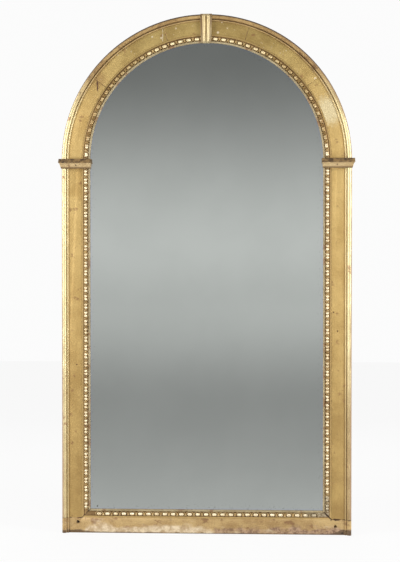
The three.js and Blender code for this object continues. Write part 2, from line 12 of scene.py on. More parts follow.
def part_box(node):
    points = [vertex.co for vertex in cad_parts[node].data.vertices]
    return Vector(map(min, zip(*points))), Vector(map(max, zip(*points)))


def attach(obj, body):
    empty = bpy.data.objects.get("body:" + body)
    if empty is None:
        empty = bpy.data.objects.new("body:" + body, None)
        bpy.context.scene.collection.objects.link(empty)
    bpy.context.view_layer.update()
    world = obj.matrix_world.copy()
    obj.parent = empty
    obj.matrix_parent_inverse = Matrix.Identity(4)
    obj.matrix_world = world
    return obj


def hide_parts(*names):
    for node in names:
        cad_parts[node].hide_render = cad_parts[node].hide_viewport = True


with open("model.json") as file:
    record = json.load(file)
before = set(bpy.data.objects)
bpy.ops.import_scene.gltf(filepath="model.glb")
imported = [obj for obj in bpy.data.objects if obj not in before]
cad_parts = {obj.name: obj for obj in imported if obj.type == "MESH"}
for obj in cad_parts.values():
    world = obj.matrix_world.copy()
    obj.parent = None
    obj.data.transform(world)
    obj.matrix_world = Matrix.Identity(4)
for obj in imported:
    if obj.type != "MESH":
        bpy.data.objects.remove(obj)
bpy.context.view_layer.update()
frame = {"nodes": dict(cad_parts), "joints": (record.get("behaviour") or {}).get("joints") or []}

# ---- Sizes --------------------------------------------------------------------------------------

MM = 0.001

# Read from the frame
RAIL_LOW, RAIL_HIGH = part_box("bottom_rail")
CAPITAL_LOW, CAPITAL_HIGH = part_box("right_capital")
KEYSTONE_LOW, KEYSTONE_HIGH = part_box("keystone")
HALF_WIDTH = RAIL_HIGH.x
FACE = RAIL_LOW.y
BACK = RAIL_HIGH.y
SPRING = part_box("arch_board_1")[0].z
SIGHT_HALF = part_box("right_sight_moulding")[0].x
SIGHT_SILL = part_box("bottom_sight_moulding")[1].z
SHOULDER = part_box("right_rail_moulding")[1].z
PANEL_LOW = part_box("backboard_1")[0].z
PANEL_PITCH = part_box("backboard_2")[0].z - PANEL_LOW
FIT = 0.3 * MM

# Outer moulding
FILLET = 2.2 * MM
TORUS = 7 * MM
QUIRK_WIDTH = 1.6 * MM
QUIRK_RISE = 1.2 * MM
BEAD = 2.4 * MM
BEAD_FILLET = 1.8 * MM
OUTER_WIDTH = 2 * TORUS + QUIRK_WIDTH + 2 * BEAD
QUIRK_PLACE = 2 * TORUS + QUIRK_WIDTH / 2

# Sight moulding, measured from its edge on the frieze towards the glass, and forward from the face
CARVED_WIDTH = 26 * MM
SIGHT_EDGE = HALF_WIDTH - SIGHT_HALF - CARVED_WIDTH
FILLET_END = 5.6 * MM
GROOVE_DEPTH = 0.9 * MM
EGG_PITCH = 25.4 * MM
EGG_CENTRE = 12.8 * MM
SPLIT_OFFSET = 4.6 * MM
JOINED_OFFSET = 2.5 * MM
LOBE_HALF_LENGTH = 5.2 * MM
LOBE_HALF_WIDTH = 5.6 * MM
LOBE_RISE = 8 * MM
GROUND = 1.5 * MM
CUP_HALF_LENGTH = 11.4 * MM
CUP_HALF_WIDTH = 8 * MM
CUP_RIM = 1.35 * MM
CUP_RISE = 4.4 * MM
CUP_OPENING = 8 * MM
ARCH_UNIT_SHIFT = 1.4 * MM
DART_HALF = 1.9 * MM
DART_START = 8 * MM
DART_END = 18 * MM
DART_RISE = 3.4 * MM
LIP_WIDTH = 5.2 * MM
LIP_RISE = 3.8 * MM

# Members, for the finishes: middle radius of the arch, and a shift that sets left apart from right
MEMBER_HALF = 43 * MM
MEMBER_RADIUS = HALF_WIDTH - MEMBER_HALF
SIDE_SHIFT = 3.0

# Keystone
KEYSTONE_HEAD_HALF = 18 * MM
KEYSTONE_FOOT_HALF = 15.5 * MM
KEYSTONE_BODY_RISE = 9 * MM
KEYSTONE_EASE = 0.8 * MM

# Its foot and head seen from the side, in mm: back from its front, and in from its end
KEYSTONE_NOSE = [(5, 0), (1.5, 1.5), (0, 5)]
KEYSTONE_SHOULDER = [(0, 13), (1.2, 6), (4, 1.5), (6.5, 0)]

# Reeds and capitals
REED_RISE = 6 * MM
REED_WIDTH = 10.5 * MM
REED_GAP = 3.4 * MM
REED_FOOT = 0.6 * MM
REED_HEAD = 4 * MM
FASCIA_HEIGHT = 16.5 * MM

# Steps of an arched run, and distance at which doubled corners merge
ARCH_STEPS = 64
MERGE = 0.01 * MM

# ---- Modelling by hand --------------------------------------------------------------------------


def object_mode():
    if bpy.context.object and bpy.context.object.mode != "OBJECT":
        bpy.ops.object.mode_set(mode="OBJECT")


def take(piece):
    """Selects one object and nothing else."""
    object_mode()
    bpy.ops.object.select_all(action="DESELECT")
    piece.select_set(True)
    bpy.context.view_layer.objects.active = piece


def open_up(piece):
    """Opens a piece for editing, selected all over."""
    bpy.ops.object.mode_set(mode="EDIT")
    bpy.ops.mesh.select_all(action="SELECT")
    return piece


def begin(primitive, **settings):
    """Adds a primitive with nothing else selected, and opens it for editing."""
    object_mode()
    bpy.ops.object.select_all(action="DESELECT")
    primitive(**settings)
    return open_up(bpy.context.object)


def box_between(low, high):
    """A block between two corners, opened for editing."""
    low, high = Vector(low), Vector(high)
    return begin(bpy.ops.mesh.primitive_cube_add, size=1, location=(low + high) / 2, scale=high - low)


def choose(piece, test, faces=False):
    """Selects the corners whose place passes the test, or the faces whose middle does."""
    bpy.ops.mesh.select_mode(type="FACE" if faces else "VERT")
    bpy.ops.mesh.select_all(action="DESELECT")
    mesh = bmesh.from_edit_mesh(piece.data)
    for part in mesh.faces if faces else mesh.verts:
        part.select = test(piece.matrix_world @ (part.calc_center_median() if faces else part.co))
    mesh.select_flush_mode()
    bmesh.update_edit_mesh(piece.data)


def pull(step):
    """Extrudes what is selected by a step."""
    bpy.ops.mesh.extrude_region_move(TRANSFORM_OT_translate={"value": step})


def shift(step):
    """Moves what is selected by a step."""
    bpy.ops.transform.translate(value=step)


def draw_outline(points):
    """Draws a closed flat outline corner by corner, from a small plane merged to its first corner."""
    piece = begin(bpy.ops.mesh.primitive_plane_add, size=MM, location=points[0])
    bpy.ops.mesh.merge(type="CENTER")
    for here, there in zip(points, points[1:]):
        pull(Vector(there) - Vector(here))
    bpy.ops.mesh.select_all(action="SELECT")
    bpy.ops.mesh.edge_face_add()
    return piece


def slice_off(place, normal):
    """Cuts away what lies on the side that the normal points to, and closes the cut."""
    bpy.ops.mesh.select_all(action="SELECT")
    bpy.ops.mesh.bisect(plane_co=place, plane_no=normal, use_fill=True, clear_outer=True)


def facing_out():
    bpy.ops.mesh.select_all(action="SELECT")
    bpy.ops.mesh.normals_make_consistent(inside=False)


def merge_doubles(distance=MERGE):
    bpy.ops.mesh.select_all(action="SELECT")
    bpy.ops.mesh.remove_doubles(threshold=distance)


def settle(piece):
    """Back to object mode, with the place of the piece in its mesh."""
    take(piece)
    bpy.ops.object.transform_apply(location=True, rotation=True, scale=True)
    return piece


def apply_modifier(piece, modifier):
    take(piece)
    bpy.ops.object.modifier_apply(modifier=modifier.name)


def soften(piece, width, steps=2, angle=35):
    """Rounds the arrises of a settled piece."""
    bevel = piece.modifiers.new("Arris", "BEVEL")
    bevel.width = width
    bevel.segments = steps
    bevel.limit_method = "ANGLE"
    bevel.angle_limit = math.radians(angle)
    apply_modifier(piece, bevel)


def hollow_out(piece, tool, operation="DIFFERENCE"):
    """Cuts a settled tool out of a settled piece, and uses it up."""
    cut = piece.modifiers.new("Cut", "BOOLEAN")
    cut.operation = operation
    cut.solver = "EXACT"
    cut.object = tool
    apply_modifier(piece, cut)
    bpy.data.objects.remove(tool)


def merge_in(piece, other):
    """Unites a settled piece with another, which is used up."""
    hollow_out(piece, other, "UNION")


def join_pieces(pieces):
    bpy.ops.object.select_all(action="DESELECT")
    for piece in pieces:
        piece.select_set(True)
    bpy.context.view_layer.objects.active = pieces[0]
    bpy.ops.object.join()
    return bpy.context.object


def placed_copy(model, place):
    """A copy with its own mesh, moved by a matrix."""
    copy = model.copy()
    copy.data = model.data.copy()
    copy.data.transform(place)
    bpy.context.scene.collection.objects.link(copy)
    return copy


def left_hand(piece):
    """The mirror image of a settled right-hand piece."""
    object_mode()
    copy = placed_copy(piece, Matrix.Scale(-1, 4, (1, 0, 0)))
    take(copy)
    open_up(copy)
    facing_out()
    object_mode()
    return copy


def dress(piece, name, finish, slot, *nodes, body="mirror_frame", smooth=40):
    """Names a settled piece, gives it its finish and ties it to the frame."""
    take(piece)
    piece.name = name
    piece.data.name = name
    piece.data.materials.clear()
    piece.data.materials.append(finish)
    bpy.ops.object.shade_smooth_by_angle(angle=math.radians(smooth))
    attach(piece, body)
    if nodes:
        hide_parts(*nodes)


def dress_pair(piece, name, finish, slot, node, bodies=("mirror_frame", "mirror_frame")):
    """Dresses a right-hand piece and its mirror image, which stand for the nodes of both sides."""
    hands = {"right": piece, "left": left_hand(piece)}
    for (side, hand), body in zip(hands.items(), bodies):
        dress(hand, f"{side}_{name}", finish, slot, f"{side}_{node}", body=body)


# ---- Building materials -------------------------------------------------------------------------


class Field:
    """A value, colour or place that changes over a surface: a node's outlet and the tree it is in.
    Sums, differences, products and shares of fields are Math nodes."""

    def __init__(self, tree, outlet):
        self.tree = tree
        self.outlet = outlet

    def __add__(self, other):
        return maths("ADD", self, other)

    def __sub__(self, other):
        return maths("SUBTRACT", self, other)

    def __rsub__(self, other):
        return maths("SUBTRACT", other, self)

    def __mul__(self, other):
        return maths("MULTIPLY", self, other)

    def __truediv__(self, other):
        return maths("DIVIDE", self, other)


def tone(red, green, blue):
    """A colour as it is seen, 0 to 255, in the linear values that sockets take."""
    def linear(value):
        share = value / 255
        return share / 12.92 if share <= 0.04045 else ((share + 0.055) / 1.055) ** 2.4
    return (linear(red), linear(green), linear(blue), 1)


def connect(socket, value):
    """Links a field to a socket, or sets the socket to a plain value."""
    if isinstance(value, Field):
        value.tree.links.new(value.outlet, socket)
    else:
        socket.default_value = value


def tree_of(values):
    return next(value.tree for value in values if isinstance(value, Field))


def fields(tree, node):
    return {outlet.name: Field(tree, outlet) for outlet in node.outputs}


def put(kind, outlet=0, settings=None, tree=None, **sockets):
    """Adds a node, sets or links its sockets by name, and returns one of its outlets."""
    tree = tree or tree_of(sockets.values())
    new = tree.nodes.new("ShaderNode" + kind)
    for key, value in (settings or {}).items():
        setattr(new, key, value)
    for key, value in sockets.items():
        connect(new.inputs[key.replace("_", " ")], value)
    return Field(tree, new.outputs[outlet])


def use(group, **sockets):
    """Places a shared effect in a material and returns its outlets by name."""
    tree = tree_of(sockets.values())
    new = tree.nodes.new("ShaderNodeGroup")
    new.node_tree = group
    for key, value in sockets.items():
        connect(new.inputs[key.replace("_", " ")], value)
    return fields(tree, new)


def maths(operation, *values, clamp=False):
    tree = tree_of(values)
    new = tree.nodes.new("ShaderNodeMath")
    new.operation = operation
    new.use_clamp = clamp
    for socket, value in zip(new.inputs, values):
        connect(socket, value)
    return Field(tree, new.outputs[0])


def absolute(value):
    return maths("ABSOLUTE", value)


def either(*masks):
    """The strongest of several masks."""
    result = masks[0]
    for mask in masks[1:]:
        result = maths("MAXIMUM", result, mask)
    return result


def length_of(across, up):
    return maths("SQRT", across * across + up * up)


def mixed(share, first, second):
    """Two colours or heights mixed by a share."""
    tree = tree_of((share, first, second))
    new = tree.nodes.new("ShaderNodeMix")
    new.data_type = "RGBA"
    for place, value in ((0, share), (6, first), (7, second)):
        connect(new.inputs[place], value)
    return Field(tree, new.outputs[2])


def ramped(value, low, high, start=0.0, end=1.0, kind="LINEAR"):
    """A value taken straight from start to end as it goes from low to high, and held beyond."""
    return put(
        "MapRange", settings={"interpolation_type": kind},
        Value=value, From_Min=low, From_Max=high, To_Min=start, To_Max=end,
    )


def between(value, low, high, start=0.0, end=1.0):
    """As ramped, with a smooth start and end."""
    return ramped(value, low, high, start, end, "SMOOTHSTEP")


def noise(place, scale, detail=2.0, roughness=0.5):
    return put("TexNoise", Vector=place, Scale=scale, Detail=detail, Roughness=roughness)


def scaled(place, x, y, z):
    return put("Mapping", Vector=place, Scale=(x, y, z))


def on_end(place):
    """A place turned a quarter about the axis that points forward."""
    return put("Mapping", Vector=place, Rotation=(0, math.pi / 2, 0))


def split(place):
    parts = place.tree.nodes.new("ShaderNodeSeparateXYZ")
    connect(parts.inputs[0], place)
    return list(fields(place.tree, parts).values())


def shared_effect(name, inputs, outputs, build):
    """A shader node group with named sockets. An input without a default is a place. build takes the
    inputs by name and returns the outputs in their order."""
    tree = bpy.data.node_groups.new(name, "ShaderNodeTree")
    for label, default in inputs.items():
        kind = "Vector" if default is None else "Color" if isinstance(default, tuple) else "Float"
        socket = tree.interface.new_socket(name=label, in_out="INPUT", socket_type="NodeSocket" + kind)
        if default is not None:
            socket.default_value = default
    for label in outputs:
        kind = label if label in ("Vector", "Color") else "Float"
        tree.interface.new_socket(name=label, in_out="OUTPUT", socket_type="NodeSocket" + kind)
    given = fields(tree, tree.nodes.new("NodeGroupInput"))
    result = tree.nodes.new("NodeGroupOutput").inputs
    for label, value in zip(outputs, build(given)):
        connect(result[label], value)
    return tree


def new_material(name):
    """A material with a Principled shader. Returns it with its object coordinates and its shader."""
    material = bpy.data.materials.new(name)
    material.use_nodes = True
    tree = material.node_tree
    place = Field(tree, tree.nodes.new("ShaderNodeTexCoord").outputs["Object"])
    return material, place, tree.nodes["Principled BSDF"]


def made(finish):
    """The material that a finish paints, under the finish's own name."""
    material, place, shader = new_material(finish.__name__)
    finish(place, shader)
    return material


def finish_surface(shader, colour, roughness, metallic, height=None, depth=0.2 * MM):
    connect(shader.inputs["Base Color"], colour)
    connect(shader.inputs["Roughness"], roughness)
    connect(shader.inputs["Metallic"], metallic)
    if height:
        connect(shader.inputs["Normal"], put("Bump", Height=height, Distance=depth, Strength=1.0))


def gild(shader, colour, gilt, dull, bright, height, depth=0.12 * MM, metal=0.35):
    """A surface that shines like metal where the gilt is whole, and less where it is gone."""
    finish_surface(shader, colour, between(gilt, 0.0, 1.0, dull, bright), gilt * metal, height, depth)


# ---- Shared effects -----------------------------------------------------------------------------


def ragged_islands(given):
    """Islands of a given cover: 1 inside, 0 outside, with ragged edges."""
    field = noise(given["Vector"], given["Scale"], 6.0, 0.62)
    level = 0.7 - given["Cover"] * 0.4
    return [ramped(field, level - given["Edge"], level + given["Edge"])]


def member_places(given):
    """Places on the frame's members: across from the outer edge, along from the springing, how high
    above the springing, and how far outside the sight opening."""
    x, y, z = split(given["Vector"])
    level = z - SPRING
    rise = maths("MAXIMUM", level, 0.0)
    radius = length_of(x, rise)
    across = HALF_WIDTH - radius
    turn = maths("ARCTAN2", rise, absolute(x))
    along = turn * MEMBER_RADIUS + maths("MINIMUM", level, 0.0)
    side = maths("SIGN", x) * SIDE_SHIFT + y
    sight = either(radius - SIGHT_HALF, SIGHT_SILL - z)
    return [put("CombineXYZ", X=across, Y=side, Z=along), across, along, rise, sight]


def aged_leaf(given):
    """Gold leaf laid over bole: clouds, faint streaks along the member, grain, pits and rubbed places."""
    place = given["Vector"]
    grain = noise(place, 320.0, 2.0, 0.6)
    streaks = noise(scaled(place, 110.0, 110.0, 9.0), 1.0, 3.0, 0.6)
    share = noise(place, 13.0, 4.0, 0.6) * 0.56 + streaks * 0.12 + grain * 0.32
    base = mixed(between(share, 0.38, 0.62), given["Deep"], given["Light"])
    pits = between(noise(place, 210.0, 3.0, 0.6), 0.68, 0.78)
    pitted = mixed(pits * 0.35, base, given["Bole"])
    worn = islands(place, 36.0, given["Rubbing"], 0.035)
    return [mixed(worn * 0.7, pitted, given["Bole"]), grain * 0.35 - (worn + pits) * 0.5]


def sawn_timber(given):
    """Sawn softwood with its grain along X: growth bands, fine fibres and a few darker streaks."""
    place = given["Vector"]
    x, y, z = split(place)
    drift = noise(scaled(place, 1.2, 7.0, 7.0), 1.0, 2.0)
    rings = put(
        "TexWave", outlet=1, settings={"wave_type": "BANDS", "bands_direction": "Z"},
        Vector=put("CombineXYZ", X=x, Y=y, Z=drift * 0.045 + z), Scale=19.0, Distortion=0.0,
    )
    fibres = noise(scaled(place, 16.0, 520.0, 520.0), 1.0, 3.0, 0.6)
    streaks = noise(scaled(place, 3.0, 60.0, 60.0), 1.0, 3.0, 0.6)
    share = rings * 0.14 + fibres * 0.45 + streaks * 0.6
    return [mixed(between(share, 0.4, 0.8), given["Light"], given["Dark"]), rings * 0.3 + fibres]


def broken_line(given):
    """An irregular line along a joint or a split, from the distance to it."""
    wobble = between(noise(given["Vector"], 70.0, 4.0, 0.7), 0.36, 0.66, 0.1, 1.6)
    reach = given["Half Width"] * wobble
    return [ramped(absolute(given["Distance"]), reach, reach * 1.8 + 0.1 * MM, 1.0, 0.0)]


def ragged_spot(given):
    """A ragged spot round a place on the front."""
    x, _, z = split(given["Vector"])
    spot_x, _, spot_z = split(given["Place"])
    distance = length_of(x - spot_x, z - spot_z)
    share = distance / given["Reach"] + (noise(given["Vector"], 130.0, 4.0, 0.7) * 2.4 - 1.2)
    return [ramped(share, 1.0, given["Edge"] + 1.0, 1.0, 0.0)]


patches = shared_effect(
    "patches", {"Vector": None, "Scale": 20.0, "Cover": 0.3, "Edge": 0.03}, ["Mask"], ragged_islands,
)


def islands(place, scale, cover, edge=0.03):
    return use(patches, Vector=place, Scale=scale, Cover=cover, Edge=edge)["Mask"]


member = shared_effect(
    "member", {"Vector": None}, ["Vector", "Across", "Along", "Rise", "Sight"], member_places,
)
leaf = shared_effect(
    "leaf",
    {
        "Vector": None, "Light": tone(208, 180, 124), "Deep": tone(176, 146, 92),
        "Bole": tone(134, 90, 58), "Rubbing": 0.3,
    },
    ["Color", "Height"], aged_leaf,
)
timber = shared_effect(
    "timber", {"Vector": None, "Light": tone(190, 150, 104), "Dark": tone(134, 96, 60)},
    ["Color", "Height"], sawn_timber,
)
seam = shared_effect(
    "seam", {"Vector": None, "Distance": 0.0, "Half Width": 0.8 * MM}, ["Mask"], broken_line,
)
spot = shared_effect(
    "spot", {"Vector": None, "Place": None, "Reach": 4 * MM, "Edge": 0.4}, ["Mask"], ragged_spot,
)


def gold_leaf(place, light, deep, bole, rubbing):
    return use(leaf, Vector=place, Light=light, Deep=deep, Bole=bole, Rubbing=rubbing)


def line(place, distance, half_width):
    return use(seam, Vector=place, Distance=distance, Half_Width=half_width)["Mask"]


def blot(place, middle, reach, edge=0.4):
    return use(spot, Vector=place, Place=middle, Reach=reach, Edge=edge)["Mask"]


def mottled(place, scale, detail, roughness, spread, first, second):
    """Two tones in clouds, with a soft border of this spread about the middle."""
    return mixed(between(noise(place, scale, detail, roughness), 0.5 - spread, 0.5 + spread), first, second)


# ---- Finishes -----------------------------------------------------------------------------------

# Gold as it lies on the frieze, and darker at the crown and near the foot, partly grime and partly painted
# shade
LEAF = tone(216, 184, 118)
LEAF_DEEP = tone(192, 158, 94)
SHADED_CROWN_LEAF = tone(186, 160, 98)
SHADED_CROWN_DEEP = tone(152, 126, 70)
SHADED_FOOT_LEAF = tone(192, 160, 98)
SHADED_FOOT_DEEP = tone(166, 134, 78)
# A painted sheen: pale gold that stands for light reflected off the right of the arch
PAINTED_SHEEN = tone(236, 222, 180)

# Gold on the mouldings, and the highlights painted on the tops of the carving
CREAM = tone(246, 230, 178)
CREAM_DEEP = tone(226, 206, 152)
RUBBED_CREAM = tone(200, 174, 126)
RUBBED_DEEP = tone(168, 140, 96)
BEAD_GOLD = tone(198, 172, 118)
PAINTED_HIGHLIGHT = tone(255, 240, 204)
PAINTED_CROWN_HIGHLIGHT = tone(244, 224, 176)

# What shows where the gold is gone, and what has settled on it; dust, soot, umber and mauve also carry
# painted shade where faces look up, in hollows and on the torus's outer side
BOLE = tone(138, 98, 64)
RED_BOLE = tone(150, 96, 62)
GESSO = tone(232, 216, 186)
MAUVE_BOLE_AND_SHADE = tone(158, 128, 98)
UMBER_AND_SHADE = tone(88, 58, 34)
DUST_AND_SHADE = tone(112, 86, 56)
SOOT_AND_SHADE = tone(70, 50, 34)
PINE_LIGHT = tone(196, 158, 112)
PINE_DARK = tone(148, 108, 70)

# Places on the front of a painted sheen and of what time has left there: spots by x, height and reach,
# splits by their ends
PAINTED_SHEEN_PLACE = (0.376, 0, 1.3)
SMUDGE_PLACE = (-0.332, 0, 1.398)
PALE_SPLIT = ((-0.1336, 1.512), (-0.1336, 1.566))
DARK_SPLIT = ((-0.333, 1.356), (-0.338, 1.41))
ARCH_CHIPS = [
    (-0.166, 1.527, 2.6 * MM), (-0.138, 1.524, 2.4 * MM), (0.333, 1.398, 2.8 * MM),
    (0.048, 1.57, 2.2 * MM), (0.036, 1.539, 2.8 * MM), (-0.093, 1.553, 2 * MM),
]
DENTS = [(0.402, 0.625, 2 * MM), (0.39, 0.683, 1.8 * MM), (-0.4, 0.52, 1.5 * MM)]
RAIL_SPOTS = [(0.417, 0.006, 2 * MM), (0.396, 0.026, 3.6 * MM), (-0.396, 0.033, 4.2 * MM)]
GLASS_SPOTS = [(-0.337, 0.082, 1.6 * MM)]
BOARD_JOINTS = [math.radians(36) * MEMBER_RADIUS, math.radians(72) * MEMBER_RADIUS]


def outward(place):
    """How far a surface faces forward, up and back, as three masks."""
    _, y, z = split(put("NewGeometry", outlet=1, tree=place.tree))
    return between(y * -1.0, 0.15, 0.7), between(z, 0.12, 0.75), between(y, 0.2, 0.7)


def spots(place, table):
    """One mask for a few ragged spots."""
    return either(*(blot(place, (x, 0, height), reach) for x, height, reach in table))


def split_line(place, foot, head, half_width):
    """A short split in the gesso between two places on the front."""
    x, _, z = split(place)
    run = Vector(head) - Vector(foot)
    length = run.length
    from_x, from_z = x - foot[0], z - foot[1]
    distance = from_x * (run.y / length) + from_z * (-run.x / length)
    along = from_x * (run.x / length) + from_z * (run.y / length)
    inside = between(along, 0.0, 4 * MM) * between(along, length, length - 4 * MM)
    return line(place, distance, half_width) * inside


def corner_joint(place, half_width):
    """The joint of stile and rail: dark and open on the right, fine on the left."""
    x, _, z = split(place)
    reach = between(x, -0.1, 0.1, 0.4 * half_width, half_width)
    aside = absolute(x)
    start = SIGHT_HALF + CARVED_WIDTH
    across = line(place, z - SHOULDER, reach) * between(aside, start - 5 * MM, start)
    below = SIGHT_SILL - z
    slant = line(place, aside - SIGHT_HALF - below, reach)
    near = between(below, -3 * MM, 2 * MM) * between(below, 31 * MM, 26 * MM)
    return either(across, slant * near)


def board_timber(place):
    """Bare pine with its grain along X."""
    return use(timber, Vector=place, Light=PINE_LIGHT, Dark=PINE_DARK)


def frieze_gilding(place, shader):
    """Leaf in front, greyer at the crown and the foot, partly as painted shade, with a painted sheen on the
    right of the arch; bole on the edges, with dust and painted shade where they face up; bare pine behind.
    """
    at = use(member, Vector=place)
    front, up, rear = outward(place)
    # Darker towards the crown and the foot: partly grime, partly painted shade for the light that falls off
    # there
    high = between(at["Rise"], 0.13, 0.37)
    low = between(at["Along"], 0.05, -1.1)
    light = mixed(low, mixed(high, LEAF, SHADED_CROWN_LEAF), SHADED_FOOT_LEAF)
    deep = mixed(low, mixed(high, LEAF_DEEP, SHADED_CROWN_DEEP), SHADED_FOOT_DEEP)
    gold = gold_leaf(at["Vector"], light, deep, BOLE, 0.12)
    # A painted sheen on the right of the arch, standing for reflected light
    colour = mixed(blot(place, PAINTED_SHEEN_PLACE, 24 * MM, 1.3) * 0.7, gold["Color"], PAINTED_SHEEN)
    colour = mixed(blot(place, SMUDGE_PLACE, 14 * MM, 1.2) * 0.3, colour, BOLE)
    dirt = between(at["Across"] - OUTER_WIDTH, 3 * MM, 0.0)
    colour = mixed(dirt * 0.3, colour, BOLE)
    flecks = islands(at["Vector"], 95.0, 0.06) * high
    pale_line = split_line(place, *PALE_SPLIT, 0.6 * MM)
    colour = mixed(either(spots(place, ARCH_CHIPS), flecks, pale_line) * 0.75, colour, GESSO)
    joints = [line(place, at["Along"] - joint, 0.7 * MM) * 0.55 for joint in BOARD_JOINTS]
    opened = either(split_line(place, *DARK_SPLIT, 1.5 * MM), *joints)
    colour = mixed(either(opened, spots(place, DENTS), corner_joint(place, 1.8 * MM)), colour, UMBER_AND_SHADE)
    edge = mixed(islands(place, 26.0, 0.5), tone(164, 134, 98), tone(190, 162, 112))
    # Edges that face up: dust and painted shade
    colour = mixed(front, mixed(up, edge, DUST_AND_SHADE), colour)
    wood = board_timber(on_end(place))
    colour = mixed(rear, colour, wood["Color"])
    height = mixed(rear, gold["Height"], wood["Height"])
    gild(shader, colour, front * (1.0 - opened), 0.7, 0.42, height)


def moulded_gilding(place, shader):
    """Burnished cream gold on the torus and bead, rubbed to bole and with painted shade on the outside,
    painted shade in the hollow between torus and bead, darker towards the crown, and dust with painted
    shade where faces look up.
    """
    at = use(member, Vector=place)
    across, along = at["Across"], at["Along"]
    up = outward(place)[1]
    x = split(place)[0]
    low = between(along, -0.1, -1.0)
    rubbed = between(x, -0.1, 0.1, 0.45, 1.0) * between(along, -0.45, -0.95)
    light = mixed(rubbed, CREAM, RUBBED_CREAM)
    deep = mixed(rubbed, CREAM_DEEP, RUBBED_DEEP)
    gold = gold_leaf(at["Vector"], light, deep, RED_BOLE, 0.1)
    # Browner, duller gold towards the crown
    darker_crown_gold = gold_leaf(at["Vector"], tone(182, 152, 100), tone(148, 116, 70), tone(104, 72, 44), 0.3)
    high = between(noise(place, 9.0, 3.0) * 0.1 + at["Rise"], 0.15, 0.34)
    colour = mixed(high, gold["Color"], darker_crown_gold["Color"])
    # Painted shade in the hollow between torus and bead, deeper towards the crown
    shaded_quirk = between(absolute(across - QUIRK_PLACE), 2.2 * MM, 0.6 * MM)
    shaded_quirk = shaded_quirk * between(high, 0.0, 1.0, 0.5, 0.75)
    colour = mixed(shaded_quirk, colour, mixed(high, tone(150, 118, 70), tone(132, 100, 58)))
    beaded = between(across, QUIRK_PLACE, QUIRK_PLACE + 2 * MM) * between(along, 0.0, -0.3, 0.3, 0.65)
    colour = mixed(beaded, colour, BEAD_GOLD)
    # The torus's outer side: bole where the gilt is rubbed, with painted shade that narrows the lit part of
    # the torus, further on the right of the arch
    fray = noise(scaled(at["Vector"], 1.0, 1.0, 0.3), 60.0, 4.0, 0.65)
    right_arch = between(x, 0.1, 0.3) * between(along, 0.04, 0.2)
    reach = low * (2.6 * MM) + fray * (6 * MM) - 0.9 * MM + right_arch * (3.2 * MM)
    flank = ramped(across, reach, reach + 1.2 * MM, 1.0, 0.0)
    colour = mixed(flank * 0.85, colour, mixed(low, tone(150, 118, 78), MAUVE_BOLE_AND_SHADE))
    # Faces that look up: dust and painted shade, darker towards the crown
    dusty_and_shaded = maths("MULTIPLY", up, 1.7, clamp=True) * between(at["Rise"], 0.04, 0.3, 0.2, 1.0)
    colour = mixed(dusty_and_shaded, colour, mixed(high, DUST_AND_SHADE, SOOT_AND_SHADE))
    gilt = (1.0 - flank) * between(high, 0.0, 1.0, 1.0, 0.5)
    gild(shader, colour, gilt, 0.62, 0.3, gold["Height"], 0.1 * MM)


